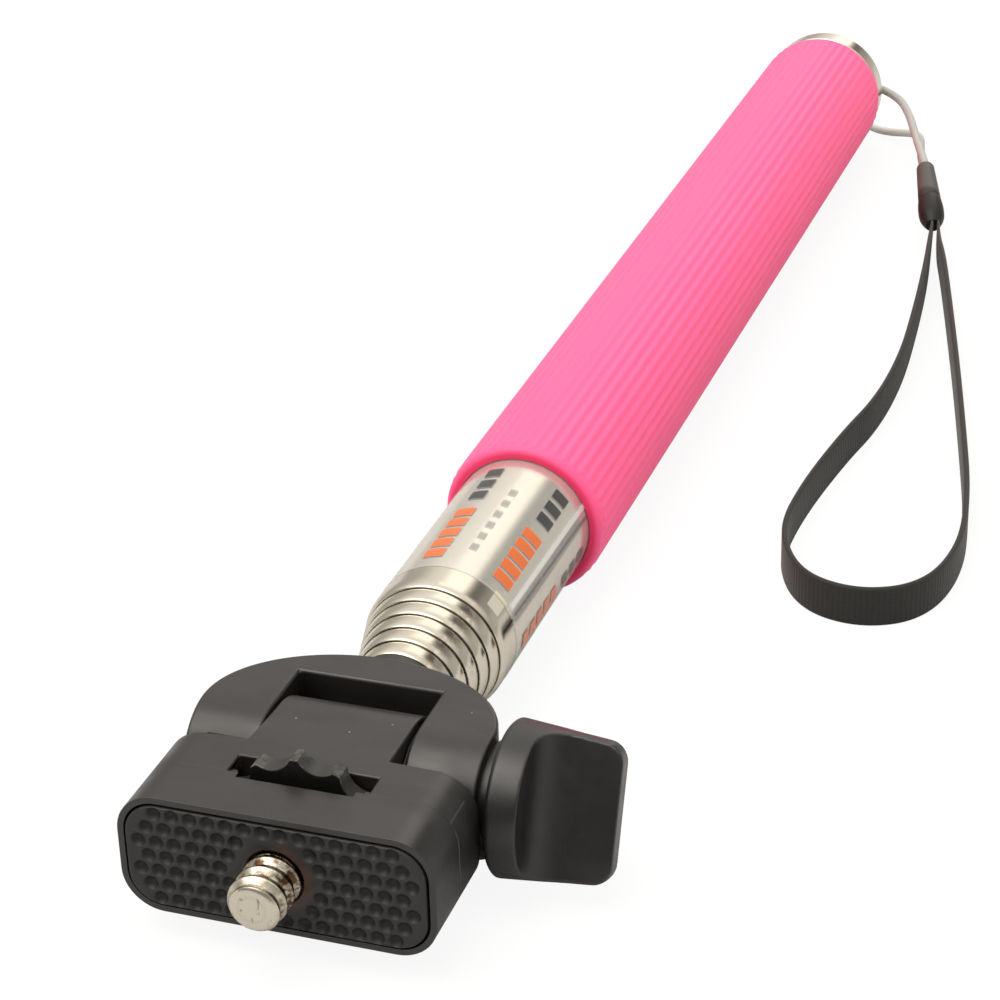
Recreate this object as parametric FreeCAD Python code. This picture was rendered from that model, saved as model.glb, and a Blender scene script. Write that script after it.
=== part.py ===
import FreeCAD, Part
import math
import os

# Telescopic selfie stick, collapsed, lying on a table.
# Millimetres. Origin on the camera screw's axis at the pad's face, +Y along the stick
# towards the wrist strap, +X towards the clamp knob, +Z up.

V = FreeCAD.Vector
X_AXIS = V(1, 0, 0)
Y_AXIS = V(0, 1, 0)
Z_AXIS = V(0, 0, 1)

# Clearances
running_fit = 0.05          # shaft in hole, radial
sleeve_fit = 0.03           # friction sleeve to the tubes on both sides, radial
seat_gap = 0.3              # curved faces of different bodies
thin_gap = 0.1              # flat faces that turn past each other
cut_margin = 1.0            # how far a cutting tool runs past a face

# Head block
block_width = 35.8
block_height = 14.4
block_corner = 4.7
rim_setback = 0.25          # shell rim behind the pad's face
rim_width = 0.75
groove_width = 0.25
pad_thickness = 1.7
pad_hole_radius = 3.7
seam_y = 7.4                # where front and rear shell meet
shoulder_y = 13.75          # rear face of the block beside the tongue
tongue_width = 16.0

# Camera screw, 1/4-20 UNC, and its wheel
screw_radius = 3.175
screw_reach = 5.9           # thread in front of the pad
screw_chamfer = 0.5
neck_radius = 2.6           # smooth shank behind the pad's face
journal_radius = 2.0
journal_length = 3.0
wheel_radius = 9.5
wheel_thickness = 2.4
wheel_lobes = 16
wheel_dip_radius = 1.3
wheel_dip_depth = 0.75
wheel_rest_angle = -6.3     # nearest lobe from the top, degrees
slot_width = 16.0
slot_length = 3.2
front_cavity = 0.9          # how far the wheel's hollow reaches into the front shell

# Shell screws under the pad
shell_screw_x = 12.5
shell_screw_radius = 1.1
shell_screw_head_radius = 2.1
shell_screw_head_height = 1.1
shell_screw_length = 10.0
shell_hole_radius = 1.2

# Yoke
ear_width = 8.5
yoke_back_thickness = 5.25
yoke_side_length = 0.25     # straight side behind the hinge axis
collar_radius = 5.9
collar_length = 2.8
spigot_length = 12.0
yoke_edge_fillet = 0.5
window_chamfer = 0.4
yoke_pin_radius = 0.8
yoke_pin_setback = 4.0      # pin axis behind the collar's end

# Hinge hardware
bolt_radius = 2.5
bolt_head_flats = 8.0
bolt_head_height = 2.2
bolt_head_cover = 0.6       # knob material outside the moulded-in head
nut_flats = 8.0
nut_thickness = 4.0
nut_recess = 0.4
knob_washer_thickness = 1.2
knob_washer_radius = 6.0
friction_washer_thickness = 0.4
friction_washer_radius = 6.2

# Clamp knob
knob_gap = 0.2
knob_radius = 8.8
knob_end_radius = 7.7
knob_length = 12.8
knob_corner = 2.3
knob_rim = 3.7              # full round part next to the yoke
knob_root_radius = 4.0
paddle_thickness = 2.5
paddle_angle = 67.0         # paddle above +Y, degrees
knob_edge = 0.5

# Tubes
section_count = 7
tube_radius = 8.9           # outer tube
tube_wall = 0.3
tube_gap = 0.25             # between a tube and the next one inside it
nose_step = 2.2             # each inner tube stands this much further out
nose_length = 1.7
nose_bend = 60.0            # where the nose's arc is measured, degrees
lip_length = 0.6
lip_edge = 0.05
flange_length = 0.6
slide_travel = 140.0
film_thickness = 0.1
film_gap = 0.01
film_setback = 4.6          # film's edge behind the outer tube's mouth
film_length = 34.0

# Grip
grip_radius = 10.71
grip_setback = 33.5         # grip's front edge behind the outer tube's mouth
grip_length = 169.3
grip_ribs = 48
rib_depth = 0.35
grip_lip = 1.2              # plain ring at each end
grip_lip_round = 0.9
grip_bore_gap = 0.02

# End cap
cap_radius = 10.1
cap_length = 4.3
cap_edge = 0.9
cap_spigot_length = 5.0
lug_thickness = 3.2
lug_radius = 4.0
lug_hole_radius = 1.2
lug_setback = 3.4           # hole axis behind the cap's face

# Wrist strap
cord_diameter = 1.4
strap_thickness = 0.8
strap_width = 5.5
ferrule_neck_radius = 1.5   # at the upper end
ferrule_joint_radius = 1.9  # where cap and body meet
ferrule_belly_radius = 2.15
ferrule_tail_radius = 1.3   # at the lower end
ferrule_cap_length = 9.5
ferrule_belly = 12.8        # from the upper end to the widest ring
ferrule_shoulder = 2.0      # length of the taper at the lower end
ferrule_grip = 1.0          # how far the cord's ends sit in the ferrule
ferrule_start = V(23.2, 228.6, -3.6)
ferrule_end = V(27.7, 213.2, -7.65)
cord_gap = 0.06             # between the two strands in the ferrule
arc_share = 0.45            # part of the shorter run that an arc takes

# Places that follow from the sizes
half_height = block_height / 2
hinge_y = shoulder_y + seat_gap + half_height
window_half = tongue_width / 2 + friction_washer_thickness + thin_gap
ear_x = window_half + ear_width
window_y = hinge_y + half_height + seat_gap
yoke_back_y = window_y + yoke_back_thickness
collar_end_y = yoke_back_y + collar_length
slot_end_y = seam_y + slot_length
nose_y = collar_end_y + seat_gap + nose_step * (section_count - 2)
film_edge_y = nose_y + film_setback
grip_front_y = nose_y + grip_setback
grip_end_y = grip_front_y + grip_length
wheel_y = seam_y + (slot_length - wheel_thickness) / 2
knob_x = ear_x + knob_washer_thickness + knob_gap
radius_step = tube_wall + tube_gap
film_radius = tube_radius + film_gap + film_thickness
grip_bore = film_radius + grip_bore_gap
cap_face_y = grip_end_y + cap_length
lug_y = cap_face_y + lug_setback
inner_rear_y = grip_end_y - cap_spigot_length - seat_gap
floor_z = -grip_radius
strap_mid_z = floor_z + strap_width / 2


def outer_radius(index):
    """Outer radius of tube number index, counted from the grip's own tube."""
    return tube_radius - radius_step * (index - 1)


def mouth_y(index):
    """Y of the crimped mouth of tube number index."""
    return nose_y - nose_step * (index - 1)


def wire_of(edges):
    """A wire from edges given in any order."""
    return Part.Wire(Part.__sortEdges__(edges))


def line(a, b):
    return Part.LineSegment(a, b).toShape()


def arc(a, middle, b):
    return Part.Arc(a, middle, b).toShape()


def turned(points, origin, axis):
    """Solid of revolution from a closed polygon of points about an axis."""
    face = Part.Face(Part.makePolygon(points + points[:1]))
    return face.revolve(origin, axis, 360)


def turned_y(profile):
    """Revolve (radius, y) pairs about the stick's axis."""
    return turned([V(r, y, 0) for r, y in profile], V(0, 0, 0), Y_AXIS)


def rod_x(radius, x_from, x_to):
    """Cylinder on the hinge axis."""
    return Part.makeCylinder(radius, x_to - x_from, V(x_from, hinge_y, 0), X_AXIS)


def rod_y(radius, y_from, y_to, x=0.0, z=0.0):
    """Cylinder along the stick."""
    return Part.makeCylinder(radius, y_to - y_from, V(x, y_from, z), Y_AXIS)


def box(x_from, x_to, y_from, y_to, z_from, z_to):
    """Axis-aligned box between two corners."""
    return Part.makeBox(x_to - x_from, y_to - y_from, z_to - z_from, V(x_from, y_from, z_from))


def rounded_disc(radius, y_flat, y_round, rounding):
    """Disc along Y with a round edge at one end."""
    disc = rod_y(radius, min(y_flat, y_round), max(y_flat, y_round))
    rims = [e for e in disc.Edges if isinstance(e.Curve, Part.Circle)
            and abs(e.Curve.Center.y - y_round) < 1e-6]
    return disc.makeFillet(rounding, rims)


def rounded_bar(width, height, corner, y_from, y_to):
    """Bar along Y whose section is a rectangle with round corners."""
    bar = box(-width / 2, width / 2, y_from, y_to, -height / 2, height / 2)
    long_edges = [e for e in bar.Edges if abs(e.Length - (y_to - y_from)) < 1e-6
                  and abs(e.tangentAt(e.FirstParameter).y) > 0.99]
    return bar.makeFillet(corner, long_edges)


def hexagon_bar(flats, x_from, x_to):
    """Hexagonal bar on the hinge axis, with a flat side up."""
    reach = flats / math.sqrt(3)
    corners = []
    for turn in range(6):
        angle = math.radians(60 * turn)
        corners.append(V(x_from, hinge_y + reach * math.cos(angle), reach * math.sin(angle)))
    face = Part.Face(Part.makePolygon(corners + corners[:1]))
    return face.extrude(V(x_to - x_from, 0, 0))


def front_shell():
    """Front half of the head block, with the pad's recess."""
    shell = rounded_bar(block_width, block_height, block_corner, rim_setback, seam_y)
    recess = rounded_bar(block_width - 2 * rim_width, block_height - 2 * rim_width,
                         block_corner - rim_width, rim_setback - cut_margin, pad_thickness)
    shell = shell.cut(recess)
    shell = shell.cut(rod_y(neck_radius + running_fit, 0, seam_y + cut_margin))
    shell = shell.cut(rod_y(wheel_radius + seat_gap, seam_y - front_cavity, seam_y + cut_margin))
    for side in (-1, 1):
        x = side * shell_screw_x
        shell = shell.cut(rod_y(shell_hole_radius, pad_thickness - cut_margin, seam_y + cut_margin, x))
        head_end = pad_thickness + shell_screw_head_height
        shell = shell.cut(rod_y(shell_screw_head_radius + thin_gap, pad_thickness - cut_margin, head_end, x))
    return shell


def rear_shell():
    """Rear half of the head block, with the wheel's slot and the hinge tongue."""
    shell = rounded_bar(block_width, block_height, block_corner, seam_y, shoulder_y)
    tongue = box(-tongue_width / 2, tongue_width / 2, slot_end_y, hinge_y, -half_height, half_height)
    barrel = rod_x(half_height, -tongue_width / 2, tongue_width / 2)
    shell = shell.fuse([tongue, barrel]).removeSplitter()
    slot = box(-slot_width / 2, slot_width / 2, seam_y - cut_margin, slot_end_y,
               -half_height - cut_margin, half_height + cut_margin)
    shell = shell.cut(slot)
    shell = shell.cut(rod_y(wheel_radius + seat_gap, seam_y - cut_margin, slot_end_y))
    journal_end = wheel_y + wheel_thickness + journal_length + seat_gap
    shell = shell.cut(rod_y(journal_radius + running_fit, slot_end_y - cut_margin, journal_end))
    shell = shell.cut(rod_x(bolt_radius + running_fit, -tongue_width, tongue_width))
    for side in (-1, 1):
        x = side * shell_screw_x
        end = pad_thickness + shell_screw_length
        shell = shell.cut(rod_y(shell_screw_radius, seam_y - cut_margin, end, x))
    return shell


def rubber_pad():
    """Rubber sheet that the camera's base rests on."""
    inset = rim_width + groove_width
    pad = rounded_bar(block_width - 2 * inset, block_height - 2 * inset,
                      block_corner - inset, 0, pad_thickness)
    return pad.cut(rod_y(pad_hole_radius, -cut_margin, pad_thickness + cut_margin))


def camera_screw():
    """Camera screw with a chamfered tip and a thinner rear journal."""
    wheel_end = wheel_y + wheel_thickness
    profile = [(0, -screw_reach),
               (screw_radius - screw_chamfer, -screw_reach),
               (screw_radius, -screw_reach + screw_chamfer),
               (screw_radius, 0),
               (neck_radius, 0),
               (neck_radius, wheel_end),
               (journal_radius, wheel_end),
               (journal_radius, wheel_end + journal_length),
               (0, wheel_end + journal_length)]
    return turned_y(profile)


def thumbwheel():
    """Lobed wheel that turns the camera screw."""
    wheel = rod_y(wheel_radius, wheel_y, wheel_y + wheel_thickness)
    dip_centre = wheel_radius + wheel_dip_radius - wheel_dip_depth
    dips = []
    for lobe in range(wheel_lobes):
        angle = 2 * math.pi * (lobe + 0.5) / wheel_lobes + math.radians(wheel_rest_angle)
        x = dip_centre * math.sin(angle)
        z = dip_centre * math.cos(angle)
        dips.append(rod_y(wheel_dip_radius, wheel_y - cut_margin,
                          wheel_y + wheel_thickness + cut_margin, x, z))
    wheel = wheel.cut(dips)
    return wheel.cut(rod_y(neck_radius, wheel_y - cut_margin, wheel_y + wheel_thickness + cut_margin))


def shell_screws():
    """The two screws that hold the head's shells together, under the pad."""
    screws = []
    for side in (-1, 1):
        x = side * shell_screw_x
        head = rod_y(shell_screw_head_radius, pad_thickness, pad_thickness + shell_screw_head_height, x)
        shank = rod_y(shell_screw_radius, pad_thickness, pad_thickness + shell_screw_length, x)
        screws.append(head.fuse(shank).removeSplitter())
    return Part.makeCompound(screws)


def yoke_plan():
    """Plan outline of the yoke behind the hinge axis: two sides and half an ellipse."""
    side_end = hinge_y + yoke_side_length
    depth = yoke_back_y - side_end
    ellipse = Part.Ellipse(V(0, side_end, 0), ear_x, depth)
    back = Part.ArcOfEllipse(ellipse, 0, math.pi).toShape()
    edges = [back,
             line(V(ear_x, side_end, 0), V(ear_x, hinge_y, 0)),
             line(V(ear_x, hinge_y, 0), V(-ear_x, hinge_y, 0)),
             line(V(-ear_x, hinge_y, 0), V(-ear_x, side_end, 0))]
    return Part.Face(wire_of(edges))


def yoke():
    """Forked yoke on the innermost tube, with the hinge ears and the spigot."""
    plan = yoke_plan()
    plan.translate(V(0, 0, -half_height))
    body = plan.extrude(V(0, 0, block_height))
    rims = [e for e in body.Edges if isinstance(e.Curve, Part.Ellipse)]
    body = body.makeFillet(yoke_edge_fillet, rims)
    nose = rod_x(half_height, -ear_x, ear_x)
    body = body.fuse(nose).removeSplitter()
    window = box(-window_half, window_half, hinge_y - block_height, window_y,
                 -half_height - cut_margin, half_height + cut_margin)
    body = body.cut(window)
    bevel = box(-window_half, window_half, window_y - window_chamfer, window_y + window_chamfer,
                -window_chamfer, window_chamfer)
    bevel.rotate(V(0, window_y, 0), X_AXIS, 45)
    for level in (-half_height, half_height):
        edge_cut = bevel.copy()
        edge_cut.translate(V(0, 0, level))
        body = body.cut(edge_cut)
    neck = rod_y(collar_radius, window_y + yoke_back_thickness / 2, collar_end_y)
    spigot_radius = outer_radius(section_count) - tube_wall - sleeve_fit
    spigot = rod_y(spigot_radius, collar_end_y - cut_margin, collar_end_y + spigot_length)
    body = body.fuse([neck, spigot]).removeSplitter()
    body = body.cut(pin_rod(yoke_pin_radius))
    body = body.cut(rod_x(bolt_radius + running_fit, -ear_x - cut_margin, ear_x + cut_margin))
    pocket_start = -ear_x - cut_margin
    return body.cut(hexagon_bar(nut_flats, pocket_start, -ear_x + nut_recess + nut_thickness))


def pin_rod(radius):
    """Rod across the innermost tube, behind the yoke's collar."""
    y = collar_end_y + yoke_pin_setback
    last = outer_radius(section_count)
    reach = math.sqrt(last ** 2 - radius ** 2) - thin_gap
    return Part.makeCylinder(radius, 2 * reach, V(0, y, -reach), Z_AXIS)


def lock_nut():
    """Hexagonal nut in the left ear."""
    start = -ear_x + nut_recess
    nut = hexagon_bar(nut_flats, start, start + nut_thickness)
    return nut.cut(rod_x(bolt_radius + running_fit, start - cut_margin, start + nut_thickness + cut_margin))


def bolt_head_x():
    """Inner face of the bolt's head, which is moulded into the knob's rim."""
    return knob_x + knob_rim - bolt_head_cover - bolt_head_height


def pivot_bolt():
    """Bolt through both ears and the tongue, with its head in the knob."""
    head_x = bolt_head_x()
    shank = rod_x(bolt_radius, -ear_x + nut_recess, head_x)
    head = hexagon_bar(bolt_head_flats, head_x, head_x + bolt_head_height)
    return shank.fuse(head).removeSplitter()


def washer(radius, x_from, x_to):
    """Flat ring on the hinge axis."""
    ring = rod_x(radius, x_from, x_to)
    return ring.cut(rod_x(bolt_radius + running_fit, x_from - cut_margin, x_to + cut_margin))


def tilt_knob():
    """Knob with a round base and a flat paddle for the fingers."""
    end_x = knob_x + knob_length
    slope = (knob_radius - knob_end_radius) / knob_length
    corner_x = end_x - knob_corner
    corner_r = knob_end_radius + slope * knob_corner
    diagonal = knob_corner * (1 - math.sqrt(0.5))
    profile = [line(V(knob_x, hinge_y, 0), V(knob_x, hinge_y + knob_radius - knob_edge, 0)),
               line(V(knob_x, hinge_y + knob_radius - knob_edge, 0),
                    V(knob_x + knob_edge, hinge_y + knob_radius, 0)),
               line(V(knob_x + knob_edge, hinge_y + knob_radius, 0), V(corner_x, hinge_y + corner_r, 0)),
               arc(V(corner_x, hinge_y + corner_r, 0),
                   V(end_x - diagonal, hinge_y + corner_r - diagonal, 0),
                   V(end_x, hinge_y + corner_r - knob_corner, 0)),
               line(V(end_x, hinge_y + corner_r - knob_corner, 0), V(end_x, hinge_y, 0)),
               line(V(end_x, hinge_y, 0), V(knob_x, hinge_y, 0))]
    knob = Part.Face(wire_of(profile)).revolve(V(0, hinge_y, 0), X_AXIS, 360)
    for side in (-1, 1):
        knob = knob.cut(paddle_relief(side))
    knob.rotate(V(0, hinge_y, 0), X_AXIS, paddle_angle)
    head_x = bolt_head_x()
    knob = knob.cut(rod_x(bolt_radius, knob_x - cut_margin, head_x + bolt_head_height / 2))
    return knob.cut(hexagon_bar(bolt_head_flats, head_x, head_x + bolt_head_height))


def paddle_relief(side):
    """Material taken off one side of the knob, with a round root."""
    face_z = paddle_thickness / 2
    rim_x = knob_x + knob_rim
    root = knob_root_radius
    diagonal = root * (1 - math.sqrt(0.5))
    far_x = knob_x + knob_length + cut_margin
    far_z = knob_radius + cut_margin
    reach = knob_radius + cut_margin

    def point(x, z):
        return V(x, hinge_y - reach, side * z)

    outline = [line(point(rim_x, far_z), point(rim_x, face_z + root)),
               arc(point(rim_x, face_z + root),
                   point(rim_x + diagonal, face_z + diagonal),
                   point(rim_x + root, face_z)),
               line(point(rim_x + root, face_z), point(far_x, face_z)),
               line(point(far_x, face_z), point(far_x, far_z)),
               line(point(far_x, far_z), point(rim_x, far_z))]
    return Part.Face(wire_of(outline)).extrude(V(0, 2 * reach, 0))


def crimped_tube(index):
    """Tube with a rounded nose that is crimped in around the next tube."""
    radius = outer_radius(index)
    front = mouth_y(index)
    rear = grip_end_y if index == 1 else inner_rear_y
    bore = radius - tube_wall
    lip = outer_radius(index + 1) + running_fit
    lip_outer = lip + lip_edge
    bend = math.radians(nose_bend)
    middle_r = lip_outer + (radius - lip_outer) * math.sin(bend)
    middle_y = front + nose_length * (1 - math.cos(bend))
    edges = [arc(V(lip_outer, front, 0), V(middle_r, middle_y, 0), V(radius, front + nose_length, 0)),
             line(V(lip, front, 0), V(lip_outer, front, 0)),
             line(V(lip, front, 0), V(lip, front + lip_length, 0)),
             line(V(lip, front + lip_length, 0), V(bore, front + nose_length, 0)),
             line(V(bore, front + nose_length, 0), V(bore, rear, 0))]
    edges += rear_edges(index, radius, bore, rear, front + nose_length)
    return Part.Face(wire_of(edges)).revolve(V(0, 0, 0), Y_AXIS, 360)


def rear_edges(index, radius, bore, rear, front_end):
    """Rear end of a tube's wall: plain on the outer tube, flanged on the inner ones."""
    if index == 1:
        return [line(V(bore, rear, 0), V(radius, rear, 0)),
                line(V(radius, rear, 0), V(radius, front_end, 0))]
    flange = outer_radius(index - 1) - tube_wall - running_fit
    flange_y = rear - flange_length
    return [line(V(bore, rear, 0), V(flange, rear, 0)),
            line(V(flange, rear, 0), V(flange, flange_y, 0)),
            line(V(flange, flange_y, 0), V(radius, flange_y, 0)),
            line(V(radius, flange_y, 0), V(radius, front_end, 0))]


def last_tube():
    """Innermost tube: plain front end against the yoke's collar, with the pin's holes."""
    radius = outer_radius(section_count)
    bore = radius - tube_wall
    flange = outer_radius(section_count - 1) - tube_wall - running_fit
    front = collar_end_y
    flange_y = inner_rear_y - flange_length
    tube = turned_y([(bore, front), (radius, front), (radius, flange_y), (flange, flange_y),
                     (flange, inner_rear_y), (bore, inner_rear_y)])
    return tube.cut(pin_rod(yoke_pin_radius))


def friction_sleeve(index):
    """Spring sleeve round a tube's rear end, which stops at the outer tube's lip."""
    inner = outer_radius(index) + sleeve_fit
    outer = outer_radius(index - 1) - tube_wall - sleeve_fit
    rear = inner_rear_y - flange_length
    front = mouth_y(index - 1) + nose_length + slide_travel + seat_gap
    sleeve = turned_y([(inner, front), (outer, front), (outer, rear), (inner, rear)])
    slit = box(-seat_gap, seat_gap, front - cut_margin, rear + cut_margin, 0, outer + cut_margin)
    return sleeve.cut(slit)


def label_film():
    """Clear printed film round the outer tube, half under the grip."""
    inner = tube_radius + film_gap
    outer = inner + film_thickness
    end = film_edge_y + film_length
    return turned_y([(inner, film_edge_y), (outer, film_edge_y), (outer, end), (inner, end)])


def grip_sleeve():
    """Ribbed soft sleeve over the outer tube."""
    valley = grip_radius - rib_depth
    front_end = grip_front_y + grip_lip
    rear_start = grip_end_y - grip_lip
    pitch = 2 * math.pi / grip_ribs
    edges = []
    for rib in range(grip_ribs):
        start = rib * pitch
        ends = [V(valley * math.cos(a), 0, valley * math.sin(a)) for a in (start, start + pitch)]
        top = V(grip_radius * math.cos(start + pitch / 2), 0, grip_radius * math.sin(start + pitch / 2))
        edges.append(arc(ends[0], top, ends[1]))
    ribbed = Part.Face(Part.Wire(edges))
    ribbed.translate(V(0, front_end, 0))
    sleeve = ribbed.extrude(V(0, rear_start - front_end, 0))
    front_lip = rounded_disc(valley, front_end, grip_front_y, grip_lip_round)
    rear_lip = rounded_disc(valley, rear_start, grip_end_y, grip_lip_round)
    sleeve = sleeve.fuse([front_lip, rear_lip])
    return sleeve.cut(rod_y(grip_bore, grip_front_y - cut_margin, grip_end_y + cut_margin))


def end_cap():
    """Metal cap with a spigot in the outer tube and a lug for the strap's cord."""
    bore = tube_radius - tube_wall
    spigot = rod_y(bore - sleeve_fit, grip_end_y - cap_spigot_length, grip_end_y)
    cap = rounded_disc(cap_radius, grip_end_y, cap_face_y, cap_edge).fuse(spigot)
    half = lug_thickness / 2
    lug = box(-half, half, cap_face_y - half, lug_y, -lug_radius, lug_radius)
    lug_end = Part.makeCylinder(lug_radius, lug_thickness, V(-half, lug_y, 0), X_AXIS)
    cap = cap.fuse([lug, lug_end]).removeSplitter()
    hole = Part.makeCylinder(lug_hole_radius, 2 * lug_thickness, V(-lug_thickness, lug_y, 0), X_AXIS)
    return cap.cut(hole)


def smooth_route(points):
    """Edges of a route: straight runs joined by tangent arcs, and its radii."""
    edges = []
    radii = []
    last = points[0]
    for before, corner, after in zip(points, points[1:], points[2:]):
        back = before - corner
        ahead = after - corner
        shorter = min(back.Length, ahead.Length)
        turn = math.pi - back.getAngle(ahead)
        radius = arc_share * shorter / math.tan(turn / 2)
        start = corner + back * (arc_share * shorter / back.Length)
        end = corner + ahead * (arc_share * shorter / ahead.Length)
        inward = (back.normalize() + ahead.normalize()).normalize()
        centre = corner + inward * (radius / math.cos(turn / 2))
        middle = centre - inward * radius
        edges.append(line(last, start))
        edges.append(arc(start, middle, end))
        radii.append(radius)
        last = end
    edges.append(line(last, points[-1]))
    return edges, radii


def cord(name, points):
    """Round cord along a route, with its radii and volume printed."""
    edges, radii = smooth_route(points)
    route = Part.Wire(edges)
    direction = points[1] - points[0]
    ring = Part.Wire(Part.Circle(points[0], direction, cord_diameter / 2).toShape())
    tube = route.makePipeShell([ring], True, False)
    expected = math.pi * (cord_diameter / 2) ** 2 * route.Length
    print(name, "length", round(route.Length, 1), "least radius", round(min(radii), 1),
          "volume", round(tube.Volume, 2), "expected", round(expected, 2))
    return tube


def ferrule_frame():
    """Unit vectors along the ferrule and across it, the second one nearly upright."""
    along = (ferrule_end - ferrule_start).normalize()
    level = along.cross(Z_AXIS).normalize()
    return along, level.cross(along)


def cord_end(side):
    """End of the upper (1) or lower (-1) strand inside the ferrule."""
    along, upright = ferrule_frame()
    spread = (cord_diameter + cord_gap) / 2
    return ferrule_start + along * ferrule_grip + upright * (side * spread)


def upper_cord_route():
    """From the lug's hole round its right side to the ferrule."""
    return [V(0, lug_y, 0), V(6.4, lug_y, 0), V(12.9, 255.6, -1.0), V(16.2, 249.0, -1.7),
            V(18.7, 241.6, -2.3), V(21.0, 234.8, -2.7), cord_end(1)]


def lower_cord_route():
    """From the lug's hole round its left side, over the table, to the ferrule."""
    return [V(0, lug_y, 0), V(-5.6, lug_y, 0), V(-10.4, 262.4, -3.4), V(-9.2, 268.2, -6.6),
            V(-3.0, 270.4, -9.0), V(3.2, 266.4, -9.9), V(9.0, 260.8, -9.9), V(16.0, 258.0, -8.5),
            V(18.3, 250.2, -6.5), V(19.8, 242.2, -5.4), V(21.3, 235.0, -4.8), cord_end(-1)]


def webbing_route():
    """Loop of the strap on the table, in plan."""
    points = [(27.3, 215.2), (28.6, 206.0), (30.6, 192.0), (32.5, 174.0), (33.9, 157.0),
              (33.6, 141.5), (31.4, 129.0), (29.6, 112.0), (29.7, 98.8), (34.8, 88.1),
              (43.3, 85.3), (50.8, 89.7), (53.2, 101.5), (51.2, 117.0), (47.0, 136.0),
              (42.3, 156.5), (36.9, 179.0), (32.6, 196.5), (29.9, 205.9), (28.2, 215.2)]
    return [V(x, y, strap_mid_z) for x, y in points]


def strap_webbing():
    """Flat strap standing on its edge on the table."""
    points = webbing_route()
    edges, radii = smooth_route(points)
    route = Part.Wire(edges)
    direction = (points[1] - points[0]).normalize()
    across = direction.cross(Z_AXIS) * (strap_thickness / 2)
    up = Z_AXIS * (strap_width / 2)
    start = points[0]
    section = Part.makePolygon([start + across + up, start - across + up, start - across - up,
                                start + across - up, start + across + up])
    band = route.makePipeShell([section], True, False)
    expected = strap_thickness * strap_width * route.Length
    print("strap_webbing length", round(route.Length, 1), "least radius", round(min(radii), 1),
          "volume", round(band.Volume, 2), "expected", round(expected, 2))
    return band


def ferrule(profile):
    """Turned piece of the ferrule from (radius, distance) pairs along its axis."""
    piece = turned([V(r, 0, s) for r, s in profile], V(0, 0, 0), Z_AXIS)
    along, upright = ferrule_frame()
    piece.Placement = FreeCAD.Placement(ferrule_start, FreeCAD.Rotation(Z_AXIS, along))
    return piece


def ferrule_cap():
    """Lighter upper piece that holds the cord."""
    return ferrule([(0, 0), (ferrule_neck_radius, 0), (ferrule_joint_radius, ferrule_cap_length),
                    (0, ferrule_cap_length)])


def ferrule_body():
    """Darker lower piece that holds the strap."""
    length = (ferrule_end - ferrule_start).Length
    return ferrule([(0, ferrule_cap_length), (ferrule_joint_radius, ferrule_cap_length),
                    (ferrule_belly_radius, ferrule_belly), (ferrule_belly_radius, length - ferrule_shoulder),
                    (ferrule_tail_radius, length), (0, length)])


def sub_parts():
    """Every sub-part's node name and solid."""
    parts = {
        "grip_sleeve": grip_sleeve(),
        "label_film": label_film(),
        "end_cap": end_cap(),
        "strap_cord_upper": cord("strap_cord_upper", upper_cord_route()),
        "strap_cord_lower": cord("strap_cord_lower", lower_cord_route()),
        "strap_ferrule_cap": ferrule_cap(),
        "strap_ferrule_body": ferrule_body(),
        "strap_webbing": strap_webbing(),
        "yoke": yoke(),
        "yoke_pin": pin_rod(yoke_pin_radius),
        "lock_nut": lock_nut(),
        "pivot_bolt": pivot_bolt(),
        "knob_washer": washer(knob_washer_radius, ear_x, ear_x + knob_washer_thickness),
        "tilt_knob": tilt_knob(),
        "head_front_shell": front_shell(),
        "head_rear_shell": rear_shell(),
        "rubber_pad": rubber_pad(),
        "camera_screw": camera_screw(),
        "thumbwheel": thumbwheel(),
        "shell_screws": shell_screws(),
    }
    inner_x = window_half - friction_washer_thickness
    parts["friction_washer_right"] = washer(friction_washer_radius, inner_x, window_half)
    parts["friction_washer_left"] = washer(friction_washer_radius, -window_half, -inner_x)
    for index in range(1, section_count):
        parts["tube_%d" % index] = crimped_tube(index)
    parts["tube_%d" % section_count] = last_tube()
    for index in range(2, section_count + 1):
        parts["friction_sleeve_%d" % index] = friction_sleeve(index)
    return parts


os.makedirs("parts", exist_ok=True)
for node, shape in sub_parts().items():
    if not shape.isValid() or shape.Volume <= 0:
        raise RuntimeError("bad solid: " + node)
    shape.exportStep("parts/" + node + ".step")
    print(node, "volume", round(shape.Volume, 2))
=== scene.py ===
import math

import bmesh
import bpy
from bpy.props import FloatProperty, FloatVectorProperty, IntProperty, PointerProperty
from mathutils import Matrix, Vector


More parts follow.
